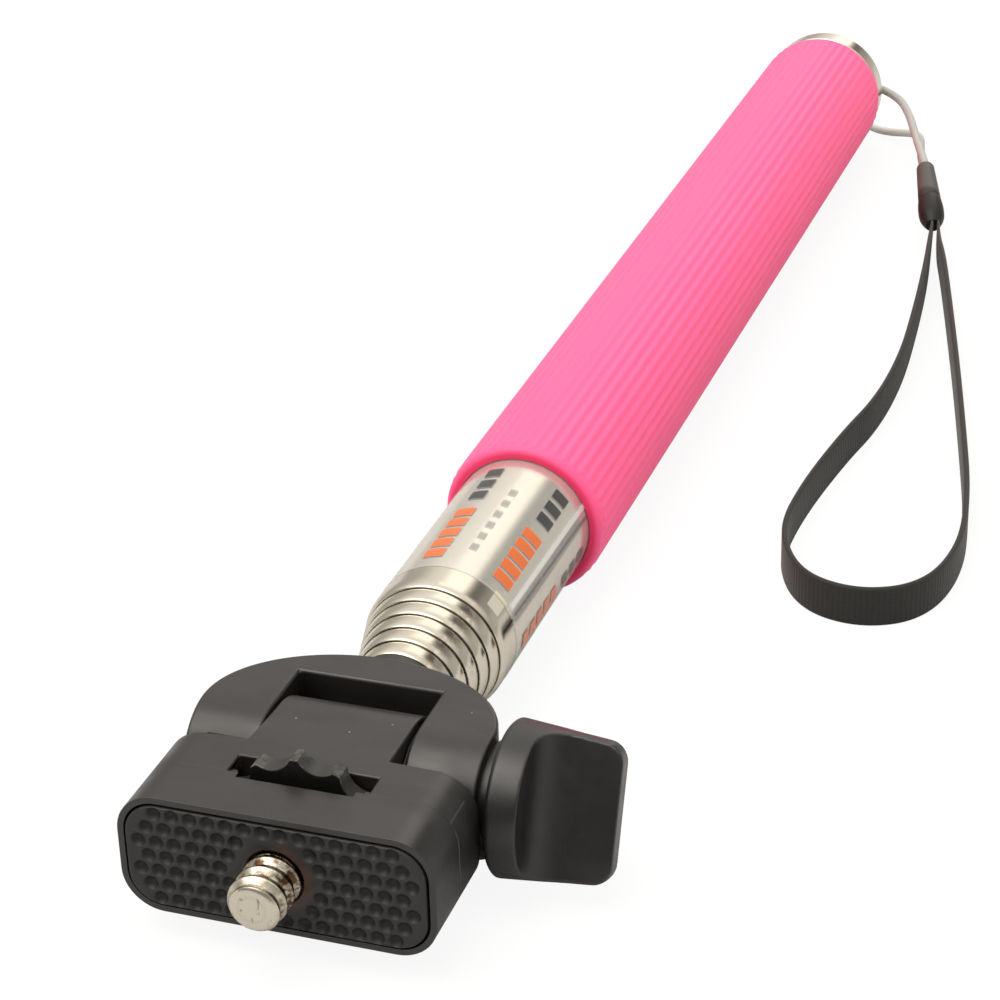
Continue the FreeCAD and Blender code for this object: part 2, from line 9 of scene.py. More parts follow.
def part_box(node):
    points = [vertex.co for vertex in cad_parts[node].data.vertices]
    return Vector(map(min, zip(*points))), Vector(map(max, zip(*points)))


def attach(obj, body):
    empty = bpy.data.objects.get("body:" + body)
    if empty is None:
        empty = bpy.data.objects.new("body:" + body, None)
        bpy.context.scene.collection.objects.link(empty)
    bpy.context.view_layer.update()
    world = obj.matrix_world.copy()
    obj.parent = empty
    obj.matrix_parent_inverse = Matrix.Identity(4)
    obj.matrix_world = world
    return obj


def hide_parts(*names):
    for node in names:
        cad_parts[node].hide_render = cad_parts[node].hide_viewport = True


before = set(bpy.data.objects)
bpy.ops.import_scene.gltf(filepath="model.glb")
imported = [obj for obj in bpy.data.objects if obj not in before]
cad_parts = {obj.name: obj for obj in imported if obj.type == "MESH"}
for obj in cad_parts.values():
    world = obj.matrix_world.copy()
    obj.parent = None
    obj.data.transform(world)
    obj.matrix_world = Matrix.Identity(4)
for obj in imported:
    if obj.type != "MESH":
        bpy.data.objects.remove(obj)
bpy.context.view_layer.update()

bl_info = {
    "name": "Telescopic selfie stick",
    "version": (1, 0, 0),
    "blender": (4, 5, 0),
    "location": "3D View > Sidebar > Stick",
    "description": "Dresses the collapsed selfie stick: ribbed grip, nickel tubes, head and wrist strap",
    "category": "Object",
}

MM = 0.001

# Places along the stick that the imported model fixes, in millimetres.
HALF_HEIGHT = 7.2
SEAM_Y = 7.4
SLOT_END_Y = 10.6
WHEEL_Y = 7.8
WHEEL_END_Y = 10.2
SHOULDER_Y = 13.75
HINGE_Y = 21.25
WINDOW_Y = 28.75
YOKE_BACK_Y = 34.0
COLLAR_END_Y = 36.8
PIN_Y = 40.8
NOSE_Y = 48.1
FILM_Y = 52.7
FILM_END_Y = 86.7
GRIP_Y = 81.6
GRIP_END_Y = 250.9
INNER_END_Y = 245.6
CAP_END_Y = 255.2
LUG_Y = 258.6
FERRULE_JOINT_Y = 219.7
EAR_X = 17.0
WINDOW_X = 8.5
TONGUE_X = 8.0
KNOB_X = 18.4
SHELL_SCREW_X = 12.5
FLOOR_Z = -10.71
STRAP_Z = -7.96
TUBES = 7

# Details that several pieces share, in millimetres.
TUBE_WALL = 0.3
NOSE_STEP = 2.2
NOSE_ROUND = 1.7
FLANGE_WIDTH = 0.6
HINGE_BORE = 2.55
WHEEL_HOLLOW = 9.8


# Sizes and colours


def length(name, text, default, low=0.0, high=0.5):
    """A length in metres that the sidebar shows in the scene's unit."""
    return FloatProperty(name=name, description=text, default=default, min=low, max=high,
                         unit="LENGTH", subtype="DISTANCE", precision=5)


def colour(name, text, default):
    """A plain colour."""
    return FloatVectorProperty(name=name, description=text, default=default, size=3,
                               min=0.0, max=1.0, subtype="COLOR")


class StickSizes(bpy.types.PropertyGroup):
    """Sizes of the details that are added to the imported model."""

    grip_ribs: IntProperty(name="Grip ribs", description="Ribs round the grip", default=48, min=12, max=96)
    rib_depth: length("Rib depth", "Height of a rib over its valley", 0.00019, high=0.001)
    grip_radius: length("Grip radius", "Radius over the ribs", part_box("grip_sleeve")[1].x)
    tube_radius: length("Tube radius", "Radius of the outer tube", 0.0089)
    tube_step: length("Tube step", "How much thinner each next tube is", 0.00055)
    block_width: length("Head width", "Width of the head block", 2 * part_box("head_front_shell")[1].x)
    block_corner: length("Head corner", "Radius of the head's long corners", 0.0047)
    plastic_edge: length("Plastic edge", "Rounding of the moulded edges", 0.00045, high=0.001)
    dimple_radius: length("Dimple radius", "Radius of a dimple in the pad", 0.00086, high=0.002)
    dimple_pitch: length("Dimple pitch", "Distance between the dimples of a row", 0.00205, low=0.001)
    dimple_row: length("Dimple row", "Distance between the rows", 0.001775, low=0.001)
    dimple_depth: length("Dimple depth", "Depth of a dimple", 0.00062, high=0.0015)
    thread_radius: length("Thread radius", "Radius over the camera screw's thread", 0.003175)
    thread_pitch: length("Thread pitch", "Advance of the thread in a turn", 0.0018, low=0.0005)
    wheel_radius: length("Wheel radius", "Radius over the finger wheel's lobes", 0.0095)
    wheel_lobes: IntProperty(name="Wheel lobes", description="Lobes round the finger wheel", default=12,
                             min=4, max=24)
    knob_radius: length("Knob radius", "Radius of the clamp knob next to the yoke", 0.0088)
    knob_length: length("Knob length", "Length of the clamp knob", 0.0128)
    cord_width: length("Cord width", "Diameter of the elastic cord", 0.0014, low=0.0005)
    strap_width: length("Strap width", "Width of the flat strap", 0.0055, low=0.002)
    strap_thickness: length("Strap thickness", "Thickness of the flat strap", 0.0008, low=0.0002)


class StickColours(bpy.types.PropertyGroup):
    """Colours of the finishes."""

    grip: colour("Grip", "Soft pink rubber", (0.98, 0.095, 0.268))
    nickel: colour("Nickel", "Warm plating of the tubes", (0.70, 0.660, 0.565))
    screw: colour("Screw", "Plating of the camera screw", (0.68, 0.635, 0.52))
    tarnish: colour("Tarnish", "Brown tarnish in corners of the plating", (0.115, 0.062, 0.036))
    plastic: colour("Plastic", "Dark grey mouldings of head and yoke", (0.0076, 0.0067, 0.0063))
    knob: colour("Knob", "Dark grey moulding of the clamp knob", (0.0054, 0.0050, 0.0056))
    wheel: colour("Wheel", "Finger wheel", (0.014, 0.0137, 0.0128))
    worn: colour("Worn edge", "Rubbed lobes of the finger wheel", (0.115, 0.110, 0.098))
    pad: colour("Pad", "Rubber under the camera", (0.0165, 0.0155, 0.0165))
    film: colour("Film", "Clear film on the outer tube", (0.84, 0.84, 0.81))
    print_warm: colour("Warm print", "Orange bars on the film", (0.66, 0.150, 0.040))
    print_grey: colour("Grey print", "Grey bars on the film", (0.05, 0.05, 0.05))
    cord: colour("Cord", "Elastic cord", (0.36, 0.36, 0.345))
    ferrule_cap: colour("Ferrule cap", "Lighter half of the ferrule", (0.068, 0.063, 0.055))
    ferrule_body: colour("Ferrule body", "Darker half of the ferrule", (0.0085, 0.0075, 0.0068))
    strap: colour("Strap", "Woven strap", (0.0080, 0.0074, 0.0068))
    strap_light: colour("Strap ridge", "Raised yarns of the strap", (0.021, 0.0197, 0.0178))
    steel: colour("Steel", "Plated nut, bolt, washer and screws", (0.60, 0.59, 0.56))
    sleeve: colour("Sleeve", "Slippery plastic of the friction rings", (0.78, 0.75, 0.68))
    floor: colour("Floor", "Pale table", (0.90, 0.90, 0.90))


# Shader nodes


def math_step(operation, turned=False):
    """A method that feeds a wire, and another value if one is given, to a Math node."""
    def method(self, other=None):
        first, second = (other, self) if turned else (self, other)
        values = {0: first} if second is None else {0: first, 1: second}
        return self.graph.add("ShaderNodeMath", {"operation": operation}, values)
    return method


class Wire:
    """An output of a shader node that can be used in an expression."""

    def __init__(self, graph, socket):
        self.graph = graph
        self.socket = socket

    __add__ = math_step("ADD")
    __radd__ = math_step("ADD", turned=True)
    __sub__ = math_step("SUBTRACT")
    __rsub__ = math_step("SUBTRACT", turned=True)
    __mul__ = math_step("MULTIPLY")
    __rmul__ = math_step("MULTIPLY", turned=True)
    __truediv__ = math_step("DIVIDE")
    __gt__ = math_step("GREATER_THAN")
    __lt__ = math_step("LESS_THAN")
    sine = math_step("SINE")
    root = math_step("SQRT")
    size = math_step("ABSOLUTE")
    fraction = math_step("FRACT")
    least = math_step("MINIMUM")
    most = math_step("MAXIMUM")
    arctangent = math_step("ARCTAN2")

    def degrees(self, other):
        """The angle whose sides are this value and the other."""
        return self.arctangent(other) * (180.0 / math.pi)


class Graph:
    """The node tree of a material or of the world."""

    def __init__(self, tree):
        self.tree = tree
        tree.nodes.clear()

    def add(self, kind, settings=None, values=None, output=0):
        """Add a node, set it, feed its sockets and return one of its outputs."""
        node = self.tree.nodes.new(kind)
        for key, value in (settings or {}).items():
            if key == "stops":
                self.set_stops(node.color_ramp, value)
            else:
                setattr(node, key, value)
        for key, value in (values or {}).items():
            socket = node.inputs[key]
            if isinstance(value, Wire):
                self.tree.links.new(value.socket, socket)
            elif hasattr(value, "__len__") and len(value) == 3 and socket.type == "RGBA":
                socket.default_value = (*value, 1.0)
            else:
                socket.default_value = value
        if not node.outputs:
            return None
        return Wire(self, node.outputs[output])

    @staticmethod
    def set_stops(ramp, stops):
        """Give a ramp its stops, each a position and a brightness."""
        while len(ramp.elements) > len(stops):
            ramp.elements.remove(ramp.elements[-1])
        while len(ramp.elements) < len(stops):
            ramp.elements.new(1.0)
        for element, (position, value) in zip(ramp.elements, stops):
            element.position = position
            element.color = (value, value, value, 1.0)

    def outputs(self, kind, keys, values=None):
        """Several outputs of one new node."""
        found = self.add(kind, values=values).socket.node.outputs
        return [Wire(self, found[key]) for key in keys]

    def parts(self, vector):
        """The three parts of a vector."""
        return self.outputs("ShaderNodeSeparateXYZ", range(3), {0: vector})

    def place(self):
        """Object coordinates and their three parts."""
        point = self.add("ShaderNodeTexCoord", output=3)
        return point, *self.parts(point)

    def stretched(self, point, scale):
        """A point with its three parts scaled apart."""
        return self.add("ShaderNodeVectorMath", {"operation": "MULTIPLY"}, {0: point, 1: scale})

    def noise(self, point, scale, detail=2.0, roughness=0.5):
        """Noise from 0 to 1, its scale in waves per metre."""
        values = {"Vector": point, "Scale": scale, "Detail": detail, "Roughness": roughness}
        return self.add("ShaderNodeTexNoise", values=values)

    def ramp(self, value, low, high):
        """0 below low, 1 above high and smooth between."""
        return self.add("ShaderNodeMapRange", {"interpolation_type": "SMOOTHSTEP"},
                        {"Value": value, "From Min": low, "From Max": high})

    def near(self, value, middle, far, close):
        """1 within close of the middle, 0 past far and smooth between."""
        return self.ramp((value - middle).size(), far, close)

    def mix(self, share, first, second):
        """The first colour where share is 0 and the second where it is 1."""
        return self.add("ShaderNodeMix", {"data_type": "RGBA"}, {0: share, 6: first, 7: second}, output=2)

    def bump(self, height, distance, strength):
        """Relief whose height of 1 stands a distance in metres out of the surface."""
        values = {"Strength": strength, "Distance": distance, "Height": height}
        return self.add("ShaderNodeBump", values=values)

    def surface(self, **values):
        """Principled shader on the output."""
        named = {key.replace("_", " ").title().replace("Ior", "IOR"): value for key, value in values.items()}
        shader = self.add("ShaderNodeBsdfPrincipled", values=named)
        self.add("ShaderNodeOutputMaterial", values={0: shader})


def new_material(name):
    """An empty material and the graph that draws it."""
    made = bpy.data.materials.new(name + "_finish")
    made.use_nodes = True
    return made, Graph(made.node_tree)


# Finishes: each maker gets the new material's graph, and the colours or one of them


def moulded_plastic(g, base, shine=0.40):
    """Matte moulded plastic with a fine grain, flow clouds, dust specks and the head's mould line, a raised
    bump painted pale as a highlight.
    """
    point, x, y, z = g.place()
    dusty, mould_line_highlight = (0.32, 0.31, 0.29), (0.045, 0.041, 0.038)
    grain = g.noise(point, 5200.0, 2.0, 0.6)
    cloud = g.noise(point, 160.0, 3.0)
    rub = g.ramp(g.noise(point, 420.0, 4.0, 0.65), 0.52, 0.75)
    fleck = g.ramp(g.noise(point, 2300.0, 2.0, 0.7), 0.70, 0.80)
    fleck = fleck * g.ramp(g.noise(point, 120.0, 2.0), 0.45, 0.60)
    cells = g.add("ShaderNodeTexVoronoi", values={"Vector": point, "Scale": 330.0})
    dust = g.ramp(cells, 0.050, 0.028) * g.ramp(g.noise(point, 95.0, 1.0), 0.52, 0.56)
    smear = g.ramp(g.noise(g.stretched(point, (1.0, 2.4, 1.6)), 75.0, 3.0, 0.6), 0.36, 0.64)
    # Mould line on the head's right side: raised by the bump, with a painted highlight in its pale colour.
    line = g.near(z, 0.0052, 0.00012, 0.00003) * g.ramp(y, 0.0074, 0.0076) * g.ramp(y, 0.0119, 0.0117)
    line = line * g.ramp(x, 0.0150, 0.0160) * g.ramp(x, 0.0183, 0.0181)
    shade = g.mix(cloud * 0.45, base, [v * 1.4 for v in base])
    shade = g.mix(rub * 0.18, shade, [v * 2.0 for v in base])
    shade = g.mix((dust * 0.55 + fleck * 0.22).least(1.0), shade, dusty)
    shade = g.mix(line * 0.8, shade, mould_line_highlight)
    height = grain * 0.6 + cloud * 0.4 + line * 1.5
    roughness = cloud * 0.10 + smear * 0.14 + shine - 0.12 + dust * 0.3
    g.surface(base_color=shade, roughness=roughness, ior=1.65, normal=g.bump(height, 0.00003, 0.55))


def nickel_plating(g, c):
    """Polished warm nickel with faint tarnish, a painted dark reflection on the noses, a painted shadow line
    ahead of the film, and the tinted corner of film in front of the label.
    """
    point, x, y, z = g.place()
    yellowed, brown = (0.70, 0.62, 0.48), (0.30, 0.235, 0.165)
    film_tint, shadow = (0.70, 0.66, 0.53), (0.16, 0.15, 0.16)
    cloud = g.noise(point, 85.0, 3.0, 0.6)
    spots = g.ramp(g.noise(point, 520.0, 4.0, 0.7), 0.60, 0.76)
    drawn = g.noise(g.stretched(point, (9000.0, 260.0, 9000.0)), 1.0, 2.0)
    turn = x.degrees(z)
    # Painted dark reflection: a mottled band about 37 degrees round the noses, in the tarnish brown.
    patch = g.near(turn, 37.0, 15.0, 3.0) * g.ramp(y, 0.0500, 0.0470)
    patch = patch * g.ramp(g.noise(point, 900.0, 3.0, 0.6), 0.40, 0.56)
    outer = g.ramp((x * x + z * z).root(), 0.0086, 0.0088)
    corner = g.near(turn, 51.5, 7.5, 5.5) * g.ramp(y, 0.0499, 0.0503) * g.ramp(y, 0.0528, 0.0526) * outer
    # Painted shadow: a thin dark line on the bare outer tube at 71 degrees, ahead of the film.
    tail = g.near(turn, 71.0, 1.5, 0.6) * g.ramp(y, 0.0494, 0.0498) * g.ramp(y, 0.0529, 0.0527) * outer
    shade = g.mix(cloud * 0.30, c.nickel, yellowed)
    # The brown serves both the real tarnish spots and the painted dark reflection.
    shade = g.mix((spots * 0.22 + patch * 0.5).least(1.0), shade, brown)
    shade = g.mix(corner * 0.8, shade, film_tint)
    shade = g.mix(tail * 0.8, shade, shadow)
    height = drawn * 0.35 + g.noise(point, 300.0, 2.0) * 0.65
    roughness = 0.13 + cloud * 0.10 + spots * 0.12 + corner * 0.15
    g.surface(base_color=shade, metallic=1.0 - corner * 0.5, roughness=roughness,
              normal=g.bump(height, 0.000012, 0.5))


def screw_plating(g, c):
    """Nickel of the camera screw, tarnished brown towards the pad and in the thread's roots."""
    point, x, y, z = g.place()
    grime = (0.20, 0.17, 0.13)
    radius = (x * x + z * z).root()
    root = g.ramp(radius, 0.00310, 0.0027)
    near_pad = g.ramp(y, -0.0052, -0.0010)
    side = g.ramp(x, 0.0008, 0.0028) * g.ramp(y, -0.0056, -0.0046)
    cloud = g.noise(point, 700.0, 4.0, 0.65)
    stain = (near_pad * (0.25 + cloud) + root * 0.55 + side * 0.45) * g.ramp(cloud, 0.36, 0.62)
    stain = stain * g.ramp(y, -0.00580, -0.0050)
    scratch = g.noise(g.stretched(point, (2600.0, 900.0, 400.0)), 1.0, 3.0)
    dent = g.near(radius, 0.00150, 0.00030, 0.0) * g.ramp(y, -0.00584, -0.00588)
    nick = g.ramp(cloud + scratch, 1.16, 1.24) * g.ramp(y, -0.00570, -0.00585)
    shade = g.mix(stain.least(1.0), c.screw, c.tarnish)
    shade = g.mix(nick * 0.7 + dent * 0.10, shade, grime)
    g.surface(base_color=shade, metallic=1.0, roughness=0.20 + cloud * 0.16,
              normal=g.bump(scratch * 0.5 + cloud + dent * 0.8, 0.00005, 0.6))


def zinc_steel(g, c):
    """Plated steel of nut, bolt, pin and screws."""
    point = g.place()[0]
    dull = (0.46, 0.45, 0.41)
    cloud = g.noise(point, 600.0, 4.0, 0.6)
    turned = g.noise(g.stretched(point, (400.0, 5000.0, 5000.0)), 1.0, 2.0)
    g.surface(base_color=g.mix(cloud * 0.5, c.steel, dull), metallic=1.0, roughness=0.28 + cloud * 0.15,
              normal=g.bump(turned * 0.6 + cloud * 0.4, 0.00002, 0.5))


def grip_rubber(g, c):
    """Soft satin rubber with painted shade a little deeper in its valleys, and deeper on the rolled lip."""
    point, x, _, z = g.place()
    valley_shade_and_tone, lip_pink = (0.86, 0.060, 0.205), (0.90, 0.020, 0.115)
    radius = (x * x + z * z).root()
    # Painted shade: the valleys between the ribs are a deeper pink; the same colour also takes the cloudy
    # tone.
    valley = g.ramp(radius, 0.01068, 0.01050)
    lip = g.ramp(radius, 0.0103, 0.0094)
    cloud = g.noise(g.stretched(point, (1.0, 0.35, 1.0)), 70.0, 3.0)
    fine = g.noise(point, 3300.0, 2.0, 0.6)
    shade = g.mix(valley * 0.16 + cloud * 0.12, c.grip, valley_shade_and_tone)
    shade = g.mix(lip * 0.85, shade, lip_pink)
    g.surface(base_color=shade, roughness=0.52 + cloud * 0.12, subsurface_weight=0.12,
              subsurface_radius=(1.0, 0.35, 0.4), subsurface_scale=0.0012, sheen_weight=0.12,
              sheen_roughness=0.5, normal=g.bump(fine * 0.7 + cloud * 0.3, 0.00003, 0.5))


def pad_rubber(g, c):
    """Dull rubber of the camera pad, with painted shade darker in its dimples, and rusty round the screw."""
    point, x, y, z = g.place()
    dimple_shade, rust_faint, rust_deep = (0.0045, 0.0042, 0.0045), (0.085, 0.040, 0.022), (0.10, 0.055, 0.030)
    fine = g.noise(point, 4200.0, 3.0, 0.6)
    cloud = g.noise(point, 260.0, 3.0)
    radius = (x * x + z * z).root()
    rust = g.ramp(radius, 0.0049, 0.0035) * g.ramp(x, -0.0015, 0.0025) * g.ramp(cloud, 0.36, 0.56)
    # Painted shade: the dimples darken with their depth.
    dimple_shade_mask = g.ramp(y, 0.00006, 0.00050) * g.ramp(radius, 0.0036, 0.0040)
    shade = g.mix(cloud * 0.5, c.pad, [v * 1.5 for v in c.pad])
    shade = g.mix(dimple_shade_mask * 0.75, shade, dimple_shade)
    shade = g.mix(rust * 0.65, shade, rust_faint)
    shade = g.mix(g.ramp(radius, 0.0037, 0.0034) * 0.7, shade, rust_deep)
    g.surface(base_color=shade, roughness=0.50 + cloud * 0.14, normal=g.bump(fine, 0.00003, 0.5))


def wheel_plastic(g, c):
    """Dark plastic whose lobes are rubbed lighter, with painted shade on its front face."""
    point, x, y, z = g.place()
    painted_front_shade = (0.004, 0.004, 0.004)
    radius = (x * x + z * z).root()
    patch = g.noise(point, 900.0, 4.0, 0.7)
    worn = g.ramp(radius + patch * 0.0009, 0.0090, 0.0098)
    line = g.near(y + patch * 0.0001, 0.00797, 0.00016, 0.00006) * g.ramp(patch, 0.38, 0.52)
    scratch = g.ramp(g.noise(g.stretched(point, (700.0, 4200.0, 700.0)), 1.0, 3.0, 0.6), 0.60, 0.72)
    # Painted shade: the wheel's front face, sitting in the slot, is turned near black.
    front = g.ramp(y, 0.00795, 0.00782)
    fine = g.noise(point, 3600.0, 3.0)
    rubbed = worn * g.ramp(patch, 0.35, 0.65) * 0.55 + line * worn * 1.3 + scratch * 0.3
    shade = g.mix(patch, c.wheel, [v * 2.2 for v in c.wheel])
    shade = g.mix(rubbed.least(1.0), shade, c.worn)
    shade = g.mix(front, shade, painted_front_shade)
    g.surface(base_color=shade, roughness=0.36 + patch * 0.2, specular_ior_level=0.45,
              normal=g.bump(fine + patch, 0.00004, 0.6))


def bars(g, along, turn, place, start, pitch, size, count):
    """Mask of plain dashes in a row along the tube; place is a middle and a half width in degrees."""
    middle, half = place
    step = (along - start) / pitch
    inside = (step > 0.0) * (step < float(count))
    beat = step.fraction()
    dash = g.ramp(beat, 0.02, 0.07) * g.ramp(beat, size + 0.05, size)
    return inside * dash * g.near(turn, middle, half + 0.35, half - 0.35)


# Rows of bars round the film: middle and half width in degrees.
WIDE_ROWS = ((-15.5, 8.5), (45.0, 9.0), (99.0, 7.0), (158.0, 8.5), (-138.0, 8.5), (-77.0, 8.5))
NARROW_ROWS = ((11.8, 3.2), (-108.0, 3.2))


def clear_film(g, c):
    """Clear film with plain printed bars, the two edges of its overlap and a painted highlight between them.
    """
    point, x, y, z = g.place()
    small_grey, glossy, edge_grey = (0.16, 0.16, 0.15), (0.93, 0.94, 0.95), (0.085, 0.09, 0.11)
    tinted, rim_grey = (0.80, 0.70, 0.42), (0.40, 0.39, 0.36)
    turn = x.degrees(z)
    outside = g.ramp((x * x + z * z).root(), 0.00895, 0.00897)
    warm, dark, small = 0.0, 0.0, 0.0
    for middle, half in WIDE_ROWS:
        warm = bars(g, y, turn, (middle, half), 0.0550, 0.0027, 0.80, 5).most(warm)
        dark = bars(g, y, turn, (middle + 1.0, half - 1.5), 0.0704, 0.0031, 0.74, 3).most(dark)
    for row in NARROW_ROWS:
        small = bars(g, y, turn, row, 0.0578, 0.0029, 0.55, 6).most(small)
    warm, dark, small = warm * outside, dark * outside, small * outside
    behind = y - 0.0535
    lap = g.ramp(y, 0.0531, 0.0540) * outside
    upper_edge = g.near(turn - behind * 190.0, 70.0, 2.0, 0.5)
    lower_edge = g.near(turn - behind * 75.0, 75.0, 1.5, 0.4)
    line = (upper_edge * 0.9 + lower_edge * 0.7).least(1.0) * lap
    # Painted highlight: a white band along the lap, between its two edge lines.
    painted_gleam = g.near(turn - behind * 120.0, 63.0, 3.8, 1.2) * lap
    tail = g.near(turn, 71.0, 1.6, 0.6) * g.ramp(y, 0.0531, 0.0527)
    cloud = g.noise(g.stretched(point, (1.0, 0.4, 1.0)), 160.0, 3.0)
    rim = g.ramp(y, 0.0531, 0.05272)
    folded = g.near(turn, 51.5, 7.5, 5.5) * g.ramp(y, 0.0535, 0.0532)
    shade = g.mix(warm, c.film, c.print_warm)
    shade = g.mix(dark, shade, c.print_grey)
    shade = g.mix(small * 0.8, shade, small_grey)
    shade = g.mix(painted_gleam, shade, glossy)
    shade = g.mix((line + tail).least(1.0), shade, edge_grey)
    shade = g.mix(folded * 0.7, shade, tinted)
    shade = g.mix(rim * 0.25, shade, rim_grey)
    cover = 0.09 + cloud * 0.06 + warm * 0.80 + dark * 0.78 + small * 0.45
    cover = cover + line * 0.5 + painted_gleam * 0.35 + rim * 0.15 + folded * 0.35
    g.surface(base_color=shade, roughness=0.14 + cloud * 0.16, alpha=cover.least(1.0),
              normal=g.bump(cloud, 0.00006, 0.5))


def elastic_cord(g, c):
    """Pale elastic cord, slightly milky, with painted light that makes it paler low down, near the table."""
    point, _, _, z = g.place()
    yellowed, pale = (0.36, 0.36, 0.335), (0.72, 0.72, 0.69)
    cloud = g.noise(point, 900.0, 3.0, 0.6)
    shade = g.mix(g.noise(point, 120.0, 2.0) * 0.7, c.cord, yellowed)
    # Painted light: the cord turns paler below the axis, most where it lies on the table.
    shade = g.mix(g.ramp(z, -0.0045, -0.0080), shade, pale)
    g.surface(base_color=shade, roughness=0.34 + cloud * 0.15, subsurface_weight=0.75,
              subsurface_radius=(1.0, 0.95, 0.88), subsurface_scale=0.0012,
              normal=g.bump(cloud, 0.00003, 0.5))


def ferrule_plastic(g, base):
    """Satin plastic of the ferrule, darker where its two halves meet."""
    point, _, y, _ = g.place()
    joint_dark = (0.012, 0.011, 0.010)
    cloud = g.noise(point, 500.0, 3.0)
    shade = g.mix(cloud * 0.4, base, [v * 1.5 for v in base])
    shade = g.mix(g.near(y, FERRULE_JOINT_Y * MM, 0.0016, 0.0003) * 0.75, shade, joint_dark)
    g.surface(base_color=shade, roughness=0.42 + cloud * 0.14, specular_ior_level=0.35,
              normal=g.bump(g.noise(point, 4000.0, 2.0), 0.00002, 0.5))


def woven_strap(g, c):
    """Flat woven strap: ribs across it, a finer weave between and closed edges."""
    point, _, _, z = g.place()
    rib_pitch, yarn_pitch = 0.0007, 0.00062
    along = g.add("ShaderNodeAttribute", {"attribute_name": "along"}, output=2)
    level = z - STRAP_Z * MM
    yarn = level * (2 * math.pi / yarn_pitch)
    weft = (along * (2 * math.pi / rib_pitch)).sine() * 0.5 + 0.5
    warp = yarn.sine() * 0.5 + 0.5
    offset = ((along * (math.pi / rib_pitch)).sine() > 0.0) * 0.5
    twill = ((yarn + offset * (2 * math.pi)).sine() * 0.5 + 0.5) * weft
    edge = g.ramp(level.size(), 0.00225, 0.00255)
    fuzz = g.noise(point, 5200.0, 3.0, 0.65)
    cloud = g.noise(point, 140.0, 2.0)
    height = (weft * 0.4 + twill * 0.3 + warp * 0.15 + fuzz * 0.15) * (1.0 - edge) + edge * 0.5
    shade = g.mix((height * 0.65 + cloud * 0.25).least(1.0), c.strap, c.strap_light)
    g.surface(base_color=shade, roughness=0.66 + fuzz * 0.15, sheen_weight=0.14, sheen_roughness=0.4,
              normal=g.bump(height, 0.00007, 0.6))


def sleeve_plastic(g, c):
    """Pale slippery plastic of the friction rings."""
    point = g.place()[0]
    scuffed = (0.48, 0.45, 0.39)
    cloud = g.noise(point, 300.0, 3.0)
    scuff = g.ramp(g.noise(g.stretched(point, (2500.0, 120.0, 2500.0)), 1.0, 3.0), 0.5, 0.8)
    g.surface(base_color=g.mix(cloud * 0.3 + scuff * 0.3, c.sleeve, scuffed), roughness=0.42 + scuff * 0.2,
              normal=g.bump(cloud + scuff, 0.00003, 0.5))


MAKERS = {
    "grip_rubber": grip_rubber,
    "nickel": nickel_plating,
    "screw_nickel": screw_plating,
    "steel": zinc_steel,
    "pad_rubber": pad_rubber,
    "wheel_plastic": wheel_plastic,
    "clear_film": clear_film,
    "cord": elastic_cord,
    "webbing": woven_strap,
    "sleeve_plastic": sleeve_plastic,
    "head_plastic": lambda g, c: moulded_plastic(g, c.plastic),
    "knob_plastic": lambda g, c: moulded_plastic(g, c.knob, shine=0.37),
    "ferrule_light": lambda g, c: ferrule_plastic(g, c.ferrule_cap),
    "ferrule_dark": lambda g, c: ferrule_plastic(g, c.ferrule_body),
}


def finish(name):
    """The material with that name, made when it is first asked for."""
    made = bpy.data.materials.get(name + "_finish")
    if made is None:
        made, graph = new_material(name)
        MAKERS[name](graph, bpy.context.scene.stick_colours)
    return made


# Shapes, all in millimetres

TURNS = {"X": Matrix.Rotation(math.pi / 2, 4, "Y"), "Y": Matrix.Rotation(-math.pi / 2, 4, "X"), "Z": Matrix()}
MERGE = 0.0005
HARD_BEVEL = {"offset_type": "OFFSET", "affect": "EDGES", "profile": 0.5, "material": -1}


def own_keys(group):
    """Names of a property group's own properties."""
    return [key for key in group.bl_rna.properties.keys() if key not in ("rna_type", "name")]


def sizes():
    """The sizes, lengths in millimetres."""
    group = bpy.context.scene.stick_sizes
    found = {key: getattr(group, key) for key in own_keys(group)}
    return {key: value if isinstance(value, int) else value / MM for key, value in found.items()}


def rod(axis, radius, start, end, centre=(0, 0, 0), segments=96):
    """Closed cylinder along an axis."""
    bm = bmesh.new()
    middle = Vector(centre)
    middle["XYZ".index(axis)] += (start + end) / 2
    bmesh.ops.create_cone(bm, cap_ends=True, segments=segments, radius1=radius, radius2=radius,
                          depth=end - start, matrix=Matrix.Translation(middle) @ TURNS[axis])
    return bm


def block(low, high):
    """Closed box between two corners."""
    bm = bmesh.new()
    size = [b - a for a, b in zip(low, high)]
    middle = Vector([(a + b) / 2 for a, b in zip(low, high)])
    bmesh.ops.create_cube(bm, size=1.0, matrix=Matrix.Translation(middle) @ Matrix.Diagonal((*size, 1.0)))
    return bm


def rounded_bar(width, height, corner, start, end):
    """Bar along the stick with round long corners."""
    bm = block((-width / 2, start, -height / 2), (width / 2, end, height / 2))
    long_edges = [e for e in bm.edges if abs((e.verts[0].co - e.verts[1].co).y) > 0.5 * (end - start)]
    bmesh.ops.bevel(bm, geom=long_edges, offset=corner, segments=12, **HARD_BEVEL)
    return bm


def pushed(bm, depth):
    """Give a flat shape its depth."""
    made = bmesh.ops.extrude_face_region(bm, geom=bm.faces[:])
    far = [v for v in made["geom"] if isinstance(v, bmesh.types.BMVert)]
    bmesh.ops.translate(bm, vec=depth, verts=far)


def turned_on_hinge(bm, degrees):
    """Turn a shape about the hinge's axis."""
    bmesh.ops.rotate(bm, cent=(0, HINGE_Y, 0), matrix=Matrix.Rotation(math.radians(degrees), 3, "X"),
                     verts=bm.verts)


def arc(centre, radii, start, end, steps):
    """Points of an elliptic arc, angles in degrees."""
    found = []
    for i in range(steps + 1):
        angle = math.radians(start + (end - start) * i / steps)
        found.append((centre[0] + radii[0] * math.cos(angle), centre[1] + radii[1] * math.sin(angle)))
    return found


